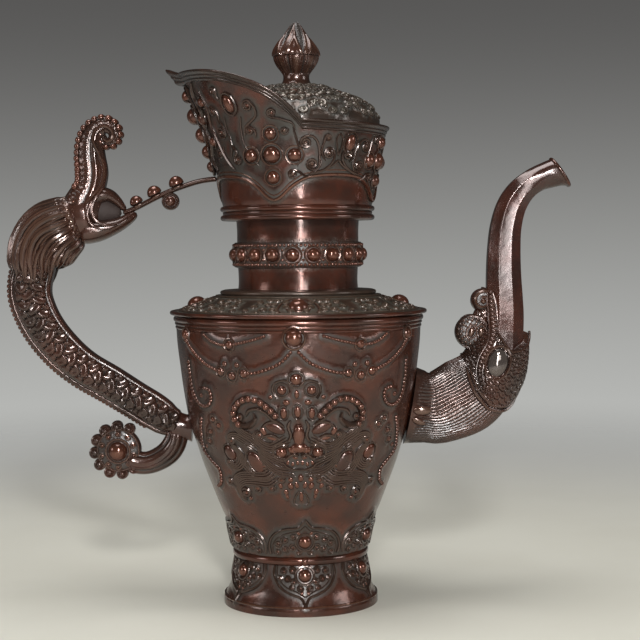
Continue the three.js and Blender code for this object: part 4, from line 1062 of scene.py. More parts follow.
on_lid = {"body": "lid", "slot": "gilt_copper"}
dome_line = flowing([(43.2, 243.4), (43.4, 245.6), (43.1, 247.4), (42.2, 249.8), (40.2, 252.4),
    (38.6, 255.4), (34.7, 258.2), (29.5, 260.8), (24.3, 262.5), (19, 264.5), (13.8, 266.6),
    (8.4, 268.2)], 0.9)
dome = Round(dome_line, "radius")
dome_work = Chasing(dome, ways(12), None, 0.6, 1.35)
for degrees, radius, size, start, hand in (
        (4, 40.6, 2.2, 0, 1), (11.4, 38.6, 2.0, 120, -1), (4.2, 35.0, 2.1, 200, 1),
        (11.4, 32.4, 1.9, 60, -1), (4.4, 29.0, 1.9, 300, 1), (11.6, 26.4, 1.7, 0, -1),
        (5.0, 22.4, 1.7, 120, 1), (11.4, 19.2, 1.5, 0, 1), (5.6, 15.6, 1.3, 200, 1)):
    dome_work.curl(degrees, radius, size, start, hand, width=0.72, knob=1.7)
    dome_work.bead(degrees + 4.6, radius - 1.2, (0.9, 1.5), 0, 0.8, 35 * hand)
dome_rings = Chasing(dome)
dome_rings.string([(d, 43.2) for d in range(0, 361, 3)], 0.9)
dome_knobs = Chasing(dome, ways(6, -3, (1,)))
dome_knobs.bead(0, 25.4, (3.0, 2.2), 1.0, 0.8)
dome_mesh = turned("lid_dome", dome_line, [(8.0, 266.4), (24, 260.8), (34, 256.6), (41.4, 243.6)], 300)
soiled_and_shaded(dome_mesh, dome, [dome_work, dome_knobs], 2.2, 0.7)
show(dome_mesh, gilt_finish, ("lid_dome",), **on_lid)
show_work(dome_work, "lid_scrolls", gilt_finish, "lid_knobs", gilt_finish, **on_lid)
show(dome_rings.balls_mesh("lid_edge_beads"), gilt_finish, **on_lid)
show_work(dome_knobs, "lid_oval_rings", gilt_finish, "lid_ovals", ornament_finish, **on_lid)


def drawn_in(mesh, rows, scale):
    """Moves points towards the axis, or away from it."""
    rows[:, :2] *= scale[:, None]
    put(mesh, rows)


def petalled(mesh, count, start, end, depth):
    """Presses petals into a turned piece between two heights: a valley between each pair, and a line
    inside each edge."""
    rows = places_of(mesh)
    radius, angle = polar(rows)
    share = np.clip((rows[:, 2] - start) / (end - start), 0, 1)
    turn = angle / (2 * np.pi) * count
    off = np.abs(turn - np.round(turn)) * 2
    valley = soft_step((off - 0.72) / 0.28)
    window = soft_step(share * 6) * soft_step((1 - share) * 5)
    cut = (valley * 0.9 + hump(off, 0.55, 0.1) * 0.5) * window
    drawn_in(mesh, rows, (radius - depth * cut) / radius)
    mark(mesh, "grime_and_shade", np.clip(cut * 0.9, 0, 1))
    mark(mesh, "crest", np.clip(window * (1 - off) * 0.9 - cut, 0, 1))


def leafed(mesh, leaves):
    """Lays rows of pointed leaves round a turned bud; each row is a count, a turn, two heights and
    a thickness."""
    rows = places_of(mesh)
    radius, angle = polar(rows)
    turns = angle / (2 * np.pi)
    cover = np.zeros(len(rows))
    edge = np.zeros(len(rows))
    for count, turn, low, high, thick in leaves:
        share = np.clip((rows[:, 2] - low) / (high - low), -1, 1)
        around = turns * count + turn
        off = np.abs(around - np.round(around)) * 2
        half = np.clip(1 - share, 0, 1) ** 0.75 * 0.98 * (share > -0.4)
        inside = soft_step((half - off) / 0.16)
        fold = hump(off, 0, 0.16) * 0.4
        rolled_edge = hump(half - off, 0.26, 0.16) * soft_step((0.9 - share) * 4)
        layer = thick * inside * (1 + 0.3 * rolled_edge - 0.35 * fold)
        edge = np.where(layer > cover, rolled_edge * 0.9 - fold * 0.4, edge)
        cover = np.maximum(cover, layer)
    drawn_in(mesh, rows, (radius + np.minimum(cover, radius * 0.3)) / radius)
    thickest = max(leaf[4] for leaf in leaves)
    # Deposit and painted shade where the leaves are thin or missing, a painted highlight on their rolled
    # edges
    mark(mesh, "grime_and_shade", np.clip(0.9 - cover / thickest * 1.3, 0, 1))
    mark(mesh, "crest", np.clip(edge, 0, 1))


cup_line = flowing([(8.6, 268.1), (7.9, 268.7), (7.0, 270.2), (6.7, 272), (7.0, 273.6), (8.4, 275.6),
    (10.2, 278), (11.5, 280.6), (11.9, 282.6)], 0.45)
cup_mesh = turned("finial_cup", cup_line, [(10.6, 282.9), (3.0, 282.9), (3.0, 268.2)], 160)
petalled(cup_mesh, 8, 272.6, 283.6, 1.2)
show(cup_mesh, dragon_finish, ("finial_cup",), **on_lid)
bud_line = flowing([(10.2, 282.9), (10.4, 284.2), (9.8, 286.4), (8.4, 289), (6.6, 291.8), (4.8, 294.6),
    (3.2, 297.2), (1.9, 299.2), (0.8, 300.3), (0, 300.6)], 0.35)
bud_mesh = turned("finial_bud", bud_line, [(0, 282.9)], 240)
leafed(bud_mesh, ((5, 0.25, 285, 301.4, 0.8), (6, 0.1, 282.2, 294.6, 1.7)))
show(bud_mesh, dragon_finish, ("finial_bud",), crease=50, **on_lid)
# Four pieces inside the ewer keep their own shape and only take a finish
for name in ("vessel_floor", "lid_seat", "lid_skirt", "finial_pin"):
    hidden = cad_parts[name]
    hidden.data.materials.clear()
    hidden.data.materials.append(moulding_finish)


# The handle, its scroll and the dragon

both_sides = ways(1)
handle_root = (-63.9, 93.0)


def scales(along, across, size):
    """Overlapping scales: 0 in the gaps, rising to 1 at each scale's free edge."""
    pitch = size * 0.6
    height = np.zeros_like(along)
    for back in (2, 1, 0):
        line = np.floor(along / pitch) - back + 1
        shift = np.mod(line, 2) * 0.5
        a = along - line * pitch
        b = across - (np.round(across / size - shift) + shift) * size
        far = np.hypot(a, b) / (size * 0.58)
        one = (0.35 + 0.65 * np.clip(1 - np.abs(far - 0.55) * 1.2, 0, 1)) * soft_step((1 - far) * 5)
        height = np.where(far < 1, np.maximum(one, 0.25), height)
    return height


def on_handle(name, keys, pitch, around, relief=None, blunt=(0.0, 0.0), finish=dragon_finish,
              nodes=(), **shape):
    """Shows a skin on an arm whose keys are told from the handle's root."""
    show(skin(name, Arm(keys, handle_root), pitch, around, relief, blunt, **shape), finish, nodes)


outer_arm = Arm([[1.5, -0.2, 6.3, 6], [-5.2, 2.1, 8.9, 7.2], [-12.4, 6.8, 9.9, 8],
    [-22.2, 13, 9.9, 8.4], [-34.6, 20.9, 10.2, 8.6], [-48.3, 29.2, 10.4, 8.8], [-59.3, 38.8, 10.9, 9],
    [-68.5, 50.5, 11.2, 9.2], [-74.1, 62.5, 11.5, 9.4], [-75.5, 71.9, 11.7, 9.5],
    [-73.2, 83.3, 11.6, 9.5], [-68.4, 94.8, 10.6, 9.3], [-60.9, 104.2, 9.9, 9],
    [-55.2, 107.6, 9.4, 8.8]], handle_root)
inset = 1.5
inner_keys = outer_arm.line.copy()
inner_keys[:, :2] = outer_arm.points(180.0, outer_arm.run, 0.0, inset / outer_arm.line[:, 2])[:, ::2]
inner_keys[:, 2] -= inset


def handle_relief(degrees, along):
    """Scales down the middle of each side between two plain flanges, and a ridge on the inner edge."""
    off = away(degrees)
    band = soft_step((off - 46) / 7) * soft_step((140 - off) / 7)
    pattern = scales(along + 0.8 * np.sin(off * 0.11), (off - 91) * 0.152 + 0.5 * np.sin(along * 0.37),
        6.8)
    groove = hump(off, 43, 4) + hump(off, 143, 4)
    height = band * (0.1 + 2.0 * pattern) - groove * 0.8 + hump(off, 158, 8) * 0.5
    # Painted shade with deposit in the grooves and between the scales, a painted highlight with wear on the
    # scales' free edges and the inner ridge
    grime_and_shade = np.clip(groove * 0.9 + band * np.clip(0.72 - pattern, 0, 1) * 2.0, 0, 1)
    crest = np.clip(band * (pattern - 0.8) * 3.4 + hump(off, 158, 7) * 0.3, 0, 1)
    return height, grime_and_shade, crest


def flange_relief(degrees, along):
    return 0 * along, 0.35 * hump(away(degrees), 70, 25), 0 * along


show(skin("handle_arm", Arm(inner_keys[::6]), 0.6, 112, handle_relief, (2, 3)), dragon_finish,
    ("handle_body",))
flange_keys = [[x, z, 1.6, 1.7] for x, y, z in outer_arm.points(0.0, outer_arm.run, -2.5)[::6]]
show(skin("handle_flange", Arm(flange_keys), 0.9, 32, flange_relief, (6, 6)), ornament_finish)
spine = Chasing(outer_arm, both_sides)
spine.string([(0, outer_arm.long * 0.1), (0, outer_arm.long * 0.8)], 1.3, 2.45, lift=-1.0)
show(spine.balls_mesh("handle_spine_beads"), bead_finish, ("handle_spine",))
on_handle("handle_ferrule", [[8.2, -1.6, 7.6, 7.2], [5, -1.4, 6.6, 6.8], [2, -0.8, 6.7, 6.8],
    [-0.6, 0, 6.9, 6.9], [-3, 1, 6.4, 6.4]], 0.8, 64, None, (0, 2.4), spout_finish, ("handle_ferrule",))

# The mane: locks combed back from the cheeks over the arm
mane_arm = Arm([[-75, 68.6, 10.9, 9.4], [-74.6, 73, 11.4, 9.8], [-72.6, 79, 12, 10.4],
    [-71.2, 86, 13, 11.4], [-68.2, 92.6, 14, 12.2], [-63.6, 98.8, 14.2, 12.6],
    [-58.6, 103.4, 13.2, 12.2], [-54.6, 106.4, 11.8, 11.4], [-51.6, 107.7, 10.8, 10.8]], handle_root)


def mane_tip(off):
    """How far down the arm the mane reaches: shortest on the inner side."""
    return np.interp(off, [0, 30, 70, 110, 150, 180], [9, 6.5, 3.5, 4.5, 13, 19])


def mane_edge(degrees):
    """The mane ends in points."""
    off = away(degrees)
    return mane_tip(off) + 2.5 + 2 * np.abs(np.sin(np.radians(off * 5)))


def mane_relief(degrees, along):
    comb = np.abs(np.sin(np.radians((away(degrees) - 0.6 * along) * 7 + 40 * np.sin(along * 0.2))))
    return comb - 1.4, np.clip(1 - comb * 0.8, 0, 1), 0 * comb


def lay_lock(path, spread, bulge, widths):
    """Lays a lock on both sides of the mane, moved round it by spread and lifted by bulge."""
    for hand in (1, -1):
        spots = [mane_arm.stand(hand * (d + s), a, h).translation
                 for (d, a), s, h in zip(path, spread, bulge)]
        mane.wires.append((spots, list(widths), False))


show(skin("mane_body", mane_arm, 0.6, 140, mane_relief, (6, 3), begin=mane_edge), dragon_finish,
    ("handle_mane",))
mane = Chasing(mane_arm)
for k in range(9):
    side = 8 + 20.5 * k
    tip = float(mane_tip(side)) + 1.8 * math.sin(k * 2.9)
    sway = 9 + 4 * math.sin(k * 1.9)
    reach = mane_arm.long - tip
    path = flowing([(side + 6, mane_arm.long - 0.6), (side - 1, tip + reach * 0.82),
        (side - sway, tip + reach * 0.6), (side - sway * 0.7, tip + reach * 0.38),
        (side + 3, tip + reach * 0.16), (side + 9, tip)], 3.2)
    share = np.linspace(0, 1, len(path))
    for strand, width in ((-1, 1.0), (0, 1.55), (1, 1.0)):
        spread = 7.4 * strand * (0.55 + 0.75 * np.sin(np.pi * np.clip(share * 1.1, 0, 1))
                                 - 0.5 * share ** 2)
        bulge = 0.2 + (2.2 if strand == 0 else 1.2) * np.sin(np.pi * share) ** 0.6 - 0.5 * share ** 3
        widths = width * np.minimum(1, 0.5 + share * 3) * np.minimum(1, 0.08 + (1 - share) * 2.6)
        lay_lock(path, spread, bulge, widths)
for k in range(8):
    side = 18 + 20.5 * k
    tip = float(mane_tip(side)) + 4 + 2 * math.sin(k * 1.3)
    start = mane_arm.long * 0.74
    path = flowing([(side + 4, start), (side - 5, (start + tip) * 0.55), (side - 1, tip + 4),
        (side + 6, tip)], 3.2)
    share = np.linspace(0, 1, len(path))
    widths = 1.1 * np.minimum(1, 0.2 + share * 4) * np.minimum(1, 0.1 + (1 - share) * 3)
    lay_lock(path, 0 * share, [0.5 + 1.4 * math.sin(math.pi * s) for s in share], widths)
show(mane.wires_mesh("mane_locks", 2), dragon_finish)
cheek = Chasing(mane_arm, both_sides)
for k in range(10):
    side = 10 + 18 * k
    cheek.curl(side, mane_arm.long - 1.0, 2.2, 40 * k, width=0.95, knob=1.7)
    cheek.bead(side + 9, mane_arm.long - 3.4, 1.7, rise=1.0)
show_work(cheek, "mane_curls", dragon_finish, "mane_knobs", dragon_finish)


# The head: skull, jaw, upper lip, throat and the raised trunk

def skull_relief(degrees, along):
    """Fine scales on the brow and behind the cheek, which is smooth."""
    off = away(degrees)
    rough = np.clip(soft_step((60 - off) / 14) + soft_step((8 - along) / 4), 0, 1)
    pattern = scales(along, off * 0.18, 2.6)
    return rough * (pattern * 0.8 - 0.4), rough * np.clip(0.8 - pattern, 0, 1), 0 * along


on_handle("dragon_skull", [[-58, 106.6, 9, 8.6], [-55.7, 107.4, 9.6, 9], [-49.4, 108.4, 11.2, 10.4],
                           [-44.6, 108.6, 11.2, 10.4], [-42, 109, 10.2, 9.8], [-40.4, 109.4, 8, 8.4]],
          0.5, 110, skull_relief, (3, 5), nodes=("handle_head",), square=0.94)
on_handle("dragon_jaw", [[-49, 101.6, 7.4, 9.2], [-43, 101.1, 6.6, 9.1], [-37, 101.7, 5.4, 8.4],
                         [-28.6, 104.3, 3.7, 6.8], [-22.3, 107.9, 2.6, 4.8], [-19.4, 110.2, 1.5, 2.4]],
          0.6, 64, None, (4, 1.6), square=0.9)
on_handle("dragon_upper_lip", [[-42, 117.5, 5.6, 8], [-38, 119, 5, 7], [-33.4, 119, 3.6, 5.8],
                               [-29.5, 116.4, 2.6, 4.2], [-26.4, 113, 1.7, 2.6], [-25, 111.4, 1.1, 1.6]],
          0.5, 48, None, (3, 1.4))
# The throat is a dark piece painted as the shade inside the open mouth
on_handle("dragon_throat", [[-42, 110.6, 6, 5.6], [-36, 111, 6.4, 5.2], [-31, 110.4, 4.4, 3.6],
                            [-27, 109.8, 2, 1.6]], 0.8, 32, None, (2, 2), mouth_shade_finish)
trunk_arm = Arm([[-50, 106, 10.4, 9], [-47.6, 112.4, 10.8, 9.3], [-45.4, 118, 9.6, 8.8],
    [-42.8, 124, 7.9, 7.7], [-41.8, 131, 8.2, 7], [-42.5, 139, 7.7, 6.4], [-42.4, 146.8, 6.8, 5.8],
    [-40.2, 152.4, 5.6, 5.2], [-35.4, 155.4, 4.3, 4.8], [-31.2, 153.6, 3.5, 4.4],
    [-29.9, 150.2, 3, 4.1], [-31.2, 147.2, 2.6, 3.8], [-34.2, 146.4, 2.2, 3.6],
    [-36.2, 148.6, 1.9, 3.4], [-35, 150.8, 1.5, 3.2]], handle_root)


def trunk_relief(degrees, along):
    """A fine netted back, a plain belly edged by a raised band."""
    off = away(degrees)
    net = soft_step((off - 34) / 6) * soft_step((84 - off) / 6) * soft_step((along - 6) / 6)
    pattern = scales(along, off * 0.13, 2.9)
    groove = hump(off, 30, 4) + hump(off, 92, 5)
    ridge = hump(off, 108, 7) + 0.8 * hump(off, 150, 12)
    height = net * (pattern - 0.5) * 0.8 - groove * 0.45 + ridge * 0.75
    # Painted shade with deposit in the grooves and the net's gaps, and a painted highlight on the ridges
    return height, np.clip(groove * 0.8 + net * (0.75 - pattern) * 1.6, 0, 1), np.clip(ridge * 0.4, 0, 1)


show(skin("dragon_trunk", trunk_arm, 0.5, 72, trunk_relief, (4, 2)), dragon_finish, ("handle_trunk",))
trunk_work = Chasing(trunk_arm, both_sides)
trunk_work.string([(40, 16), (33, trunk_arm.long * 0.45), (34, trunk_arm.long * 0.7),
    (40, trunk_arm.long * 0.98)], 1.9, 2.15, rise=0.8)
trunk_work.wire([(100, 10), (112, 15), (132, 21), (138, 28), (128, 35), (106, 42), (96, 48),
    (98, trunk_arm.long * 0.82), (96, trunk_arm.long * 0.98)], 0.95, (1, 0.5), lift=0.35, step=2)
trunk_work.curl(72, 3.5, 2.0, 60, width=0.8)
trunk_work.curl(66, 9.0, 1.5, 160, -1, width=0.7)
show_work(trunk_work, "trunk_lines", dragon_finish, "trunk_beads", bead_finish)
mouth_rim = [(-36.2, 122.5), (-38.8, 118.6), (-40.9, 114.4), (-41.2, 110.4), (-39.4, 106.4),
    (-35.4, 104.2), (-30, 104.3), (-25, 107), (-20.6, 110)]
rim_depths = [6.4, 8.2, 9.4, 10.2, 10.2, 9.2, 7.6, 5.6, 2.9]
rim = evenly(np.array(flowing(mouth_rim, 0.8)) + handle_root, 0.9)
depth = np.interp(np.linspace(0, 1, len(rim)), np.linspace(0, 1, len(rim_depths)), rim_depths)
rim_wires = [([(x - drop, -hand * (y - drop * 0.05), z - drop) for (x, z), y in zip(rim, depth)],
              list(width * np.linspace(0.9, 0.6, len(rim))), False)
             for hand in (1, -1) for drop, width in ((0.0, 1.15), (2.2, 0.7))]
show(plain(drawn("mouth_rim_lines", rim_wires, 2), 0.0, 0.35), dragon_finish)


# The strut from the dragon's mouth to the collar

def strut_relief(degrees, along):
    return 0.25 * hump(away(degrees), 90, 30), 0, 0.25 + 0 * along


strut_foot = np.array([-26.5, 109.9]) + handle_root
strut_head = np.array([-(float(collar_radius(220.3)) + 1.2), 220.3])
bow = np.array([[0, 0], [0.15, 0.4], [0.3, 1.5], [0.47, 2.5], [0.63, 2.6], [0.78, 2.3], [0.91, 1.2],
    [1, 0]])
strut_arm = Arm([list(strut_foot + (strut_head - strut_foot) * share + (0, lift)) + [1.35, 1.8]
                 for share, lift in bow])
show(skin("strut_bar", strut_arm, 0.8, 32, strut_relief, (0.8, 0.8)), ornament_finish, ("strut_bar",),
     slot="red_copper")
for number, share, size in (("1", 0.17, 3.9), ("2", 0.37, 4.3), ("3", 0.6, 4.4)):
    name = "strut_boss_" + number
    boss = Chasing(strut_arm)
    at = boss.stand(0, strut_arm.long * share, 0.9)
    boss.balls.append((at @ Matrix.Diagonal((size * 0.8, size * 0.9, size * 0.98, 1)), 5))
    boss.wires.append(ringed(at, size * 0.62, size * 0.7, -1.9, 0.5))
    show(boss.balls_mesh(name + "_dome"), bead_finish, (name,), slot="red_copper")
    show(boss.wires_mesh(name + "_ring"), ornament_finish, slot="red_copper")
pendant_low, pendant_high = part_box("strut_pendant")
pendant = (pendant_low + pendant_high) / 2 / mm
pendant_place = on_edge((pendant.x - axis_x / mm - 2.4, 0, pendant.z - 1.0))
disc_line = [(0, 1.2), (3.1, 1.2), (3.4, 1.5), (3.9, 1.7), (4.3, 1.5), (4.6, 0.8)]
pendant_mesh = turned("pendant_disc", [(r, -z) for r, z in disc_line] + disc_line[::-1], [], 40)
pendant_mesh.transform(pendant_place)
show(plain(pendant_mesh, 0.25, 0.2), ornament_finish, ("strut_pendant",), slot="red_copper")
pendant_beads = [(pendant_place @ Matrix.Translation((0, 0, side * 1.1))
                  @ Matrix.Diagonal((2.8, 2.8, 2.3, 1)), 5) for side in (1, -1)]
show(plain(strewn("pendant_beads", pendant_beads), 0, 0.4), bead_finish, slot="red_copper")


# The scroll under the handle

def scroll_relief(degrees, along):
    off = away(degrees)
    groove = hump(off, 52, 6) + hump(off, 132, 6)
    lines = 0.5 + 0.5 * np.sin(np.radians(off * 14 + along * 8))
    middle = soft_step((off - 60) / 8) * soft_step((124 - off) / 8)
    height = middle * (0.5 + lines * 0.35) - groove * 0.5
    return height, np.clip(groove + middle * (0.5 - lines) * 0.7, 0, 1), middle * 0.2


def show_plate(name, line, sides, centre, work, reach, lines, balls, ball_finish, nodes=""):
    """A round plate that stands on edge, with the same work on both its faces. lines and balls are
    the names of the work's pieces and nodes of what its beads stand for, with the face left open."""
    mesh = turned(name, np.vstack([line * [1, -1], line[::-1]]), [], sides)
    soiled_and_shaded(mesh, work.face, [work], reach, 0.0)
    mesh.transform(on_edge(centre))
    show(mesh, dragon_finish)
    for face, turn in (("front", 0), ("back", math.pi)):
        turned_over = on_edge(centre) @ Matrix.Rotation(turn, 4, "X")
        for made, finish, stands_for in (
                (work.wires_mesh(lines.format(face)), dragon_finish, ()),
                (work.balls_mesh(balls.format(face)), ball_finish, (nodes.format(face),) if nodes else ())):
            made.transform(turned_over)
            show(made, finish, stands_for)


on_handle("scroll_arm", [[0.4, -3.6, 5.6, 4.9], [-0.9, -9, 6.1, 5], [-4.2, -14.2, 6.3, 4.9],
    [-9.6, -18, 6.1, 4.7], [-15.6, -20, 5.9, 4.6], [-21.6, -19.4, 6, 4.4], [-26, -16.4, 5.4, 4.2]], 0.6,
    72, scroll_relief, (1.5, 3), nodes=("handle_scroll",))
scroll_centre = Vector((handle_root[0] - 30.4, 0, handle_root[1] - 13))
disc_half = flowing([(0, 4.0), (5.5, 4.0), (7.6, 3.7), (9.6, 3.3), (11.2, 2.2), (11.9, 0.8)], 0.5)
disc_work = Chasing(Round(disc_half[::-1], "radius"))
disc_work.bead(0, 0.3, 5.0, 1.2, 0.85)
for degrees in range(0, 360, 36):
    disc_work.curl(degrees, 8.6, 1.7, degrees, width=0.6)
disc_work.wire([(d, 10.6) for d in range(0, 360, 8)], 0.5, smooth=False, closed=True)
show_plate("scroll_disc", disc_half, 120, scroll_centre, disc_work, 2.6, "scroll_lines_{}",
    "scroll_boss_{}_bright", bead_finish, "scroll_boss_{}")
knobs = []
knob_rings = []
for k in range(9):
    turn = math.radians(62 + 31 * k)
    spot = scroll_centre + Vector((12.2 * math.cos(turn), 0, 12.2 * math.sin(turn)))
    knobs.append((Matrix.Translation(spot) @ Matrix.Diagonal((3.2, 3.3, 3.2, 1)), 3))
    for side in (1, -1):
        at = on_edge(spot)
        knobs.append((at @ Matrix.Translation((0, 0, -side * 2.9))
                      @ Matrix.Diagonal((1.5, 1.5, 1.3, 1)), 1.6))
        knob_rings.append(ringed(at, 2.35, 2.35, -side * 2.5, 0.75, 20))
show(plain(strewn("scroll_knobs", knobs), 0.1, 0.3), dragon_finish)
show(plain(drawn("scroll_knob_rings", knob_rings), 0.1, 0.3), dragon_finish)


# The spout: a combed socket, the makara's head, its curls, and the eight-sided pipe

spout_root = (57.1, 101.9)
elbow_keys = [[0.5, -0.2, 20.3, 16.3], [8.9, -1.6, 18, 14.2], [16.7, -1.3, 18.8, 14.2],
    [30.8, 5.2, 20, 13.8], [41.9, 15.6, 17.2, 13.2], [46.8, 26, 15.2, 12.6], [50.1, 37, 12, 12]]


def socket_relief(degrees, along):
    """Fine hair combed along the socket."""
    wander = 3 * np.sin(along * 0.08 + degrees * 0.03) + 0.9 * np.sin(along * 0.24 + degrees * 0.09)
    hair = np.abs(np.sin(np.radians((degrees + wander) * 36)))
    coarse = 0.5 + 0.5 * np.sin(np.radians((degrees + wander * 1.4) * 7))
    shown = soft_step((along - 1) / 4)
    height = shown * (hair * 0.55 + coarse * 0.55 - 0.6)
    # Painted shade with deposit between the hairs, and painted highlight streaks where fine and coarse hair
    # rise together
    grime_and_shade = np.clip(0.95 - hair * 0.8 - coarse * 0.3, 0, 1) * shown
    return height, grime_and_shade, np.clip(hair * coarse - 0.7, 0, 1) * 2


def makara_relief(degrees, along):
    """Small scales over the head."""
    pattern = scales(along, degrees * 0.235, 3.7)
    # Painted highlight on the scales' edges, painted shade with deposit in the gaps
    return pattern + 0.4, np.clip(0.7 - pattern, 0, 1) * 1.6, np.clip(pattern - 0.8, 0, 1) * 2.2


def nape_relief(degrees, along):
    pattern = scales(along, degrees * 0.11, 2.8)
    # Painted highlight on the scales' edges, painted shade with deposit in the gaps
    return pattern * 0.6, np.clip(0.62 - pattern, 0, 1) * 1.3, np.clip(pattern - 0.72, 0, 1) * 1.6


def head_begins(degrees):
    """The head's lower edge hangs down each side like a drop."""
    return np.interp(away(degrees), [0, 47, 70, 90, 120, 155, 180], [23, 19, 14.5, 12, 12.4, 17.5, 24])


def head_ends(degrees):
    """Its upper edge dips in a notch at each side and rises in a point on the outside."""
    return np.interp(away(degrees), [0, 60, 72, 88, 106, 125, 150, 180],
        [49, 49, 47.6, 43.6, 40.4, 42, 45.4, 50.2])


socket_arm = Arm(elbow_keys, spout_root, 0.0, 0.8)
show(skin("spout_socket", socket_arm, 0.55, 480, socket_relief, (0, 4)), dragon_finish, ("spout_socket",))
socket_work = Chasing(socket_arm, both_sides, None, 0.3)
socket_work.bead(-90, 5.4, (2.6, 5.0), 0, 0.5, 10, 0.6)
socket_work.bead(-108, 4.6, (1.8, 3.8), 0, 0.5, -12, 0.5)
show(socket_work.balls_mesh("socket_leaves"), dragon_finish)
head_arm = Arm(elbow_keys + [[50.3, 43, 11.3, 11.2]], spout_root, 0.3, 1.0)
show(skin("makara_head", head_arm, 0.45, 300, makara_relief, (2, 1.2), 1.0, head_begins, head_ends),
    dragon_finish, ("spout_head",))
makara = Chasing(head_arm, both_sides, None, 1.0)
makara.bead(-88, 32.6, (5.2, 7.6), 1.25, 0.34, 4)
for inward, width in ((0.5, 0.9), (2.7, 0.55)):
    makara.wire([(d, float(head_begins(d)) + inward) for d in range(-176, -40, 8)], width, (0.7, 0.4),
        step=5)
makara.wire([(d, float(head_ends(d)) - 0.4) for d in range(-180, -60, 6)], 0.65, (1, 0.5), step=5)
show_work(makara, "makara_ridges", dragon_finish, "makara_cabochons", stone_finish,
          ("spout_jewel_front", "spout_jewel_back"))
cord_path = np.array([(42, 58.5, 7), (42.4, 55, 7.4), (43.2, 45.7, 8.6), (43.2, 37.5, 11.4),
    (41.2, 31.6, 13), (37.4, 25.4, 13.4), (35.4, 18.4, 14.4), (36.8, 11.4, 14.8), (41.4, 5, 13.4)])
cord_line = evenly(np.array(flowing(cord_path, 1)) + (*spout_root, 0), 2.2)
cord_beads = []
cord_edges = []
wide = np.interp(np.linspace(0, 1, len(cord_line)), [0, 0.1, 0.55, 1], [0.6, 1, 1, 0.45])
for hand in (1, -1):
    for (x, z, y), w in zip(cord_line, wide):
        cord_place = Matrix.Translation((x, -hand * (y + 0.5), z))
        cord_beads.append((cord_place @ Matrix.Diagonal((1.8 * w, 1.2, 1.15, 1)), 1))
    for shift, inward, thick in ((0, 0.9, 2.0), (2.2, 0.3, 0.6), (-2.2, 0.3, 0.6)):
        cord_edges.append(([(x + shift * w, -hand * (y - inward), z)
                            for (x, z, y), w in zip(cord_line, wide)], list(thick * wide), False))
show(plain(strewn("makara_cord", cord_beads), 0.0, 0.4), dragon_finish)
show(plain(drawn("makara_cord_edges", cord_edges, 2), 0.3, 0.2), dragon_finish)

# Two curls stand behind the head, each a thick round plate with a scroll on both faces
nape_arm = Arm([[37.5, 15, 5, 4.6], [36, 24, 5, 4.4], [36, 33, 5, 4.2], [37.6, 42, 5, 4.2],
    [40.4, 50, 4.4, 4], [42, 55, 3.4, 3.4]], spout_root)
show(skin("makara_nape", nape_arm, 0.5, 96, nape_relief, (4, 3)), dragon_finish, ("spout_crest",))
thick = 5.6
for name, x, z, size in (("large", 32.9, 38.0, 8.9), ("small", 38.6, 54.4, 6.2)):
    plate_half = flowing([(0, thick), (size * 0.55, thick), (size * 0.8, thick * 0.86),
        (size * 0.96, thick * 0.5), (size, 0.02)], 0.45)
    plate = Chasing(Round(plate_half[::-1], "radius"))
    if name == "small":
        winding = [(a, size * (0.93 - 0.72 * a / 620)) for a in range(0, 600, 12)]
        plate.wire(winding, 0.85, (1, 0.8), smooth=False, lift=0.3)
        plate.bead(0, 0.4, 1.6, rise=0.9)
    else:
        plate.wire([(a, size * 0.9) for a in range(-40, 200, 8)], 0.9, (0.5, 0.5), smooth=False, lift=0.3)
        plate.bead(90, size * 0.5, (2.9, 1.7), 0.9)
        plate.bead(250, size * 0.06, (2.9, 1.7), 0.9)
        for out, bead_size, step in ((0.52, 0.75, 36), (0.68, 0.85, 24), (0.84, 0.75, 20)):
            for angle in range(0, 360, step):
                plate.bead(angle + 9 * out * 10, size * out, bead_size)
    show_plate("curl_" + name, plate_half, 90, Vector((spout_root[0] + x, 0, spout_root[1] + z)), plate,
        1.8, "curl_lines_" + name + "_{}", "curl_beads_" + name + "_{}", dragon_finish)

tube_arm = Arm([[49.6, 24.6, 10.0, 9.4], [50.2, 44.2, 10.2, 9.4], [50.1, 54.6, 9.9, 9.1],
    [49.7, 67.7, 9.4, 8.7], [49.9, 80.7, 8.9, 8.2], [50.9, 92.1, 8.4, 7.8], [53.7, 102.5, 7.9, 7.4],
    [58.5, 110.3, 7.3, 6.9], [64.8, 115.6, 6.8, 6.5], [72.1, 119.2, 6.6, 6.4], [76.5, 120.6, 7.1, 6.8],
    [80.5, 121.4, 8.1, 7.6], [87, 122.4, 9.0, 8.4]], spout_root)


def pipe_relief(degrees, along):
    """Eight flats, which soften towards the flared mouth."""
    corner = np.abs((degrees + 22.5) % 45 - 22.5)
    flat = np.cos(np.radians(22.5)) / np.cos(np.radians(np.minimum(corner, 45 - corner)))
    share = soft_step((along / tube_arm.long - 0.72) / 0.14)
    # The corners between the flats carry a painted highlight line
    return (flat - 0.985) * 9.6 * (1 - share), 0 * along, soft_step((corner - 19) / 3.5) * (1 - share) * 0.35


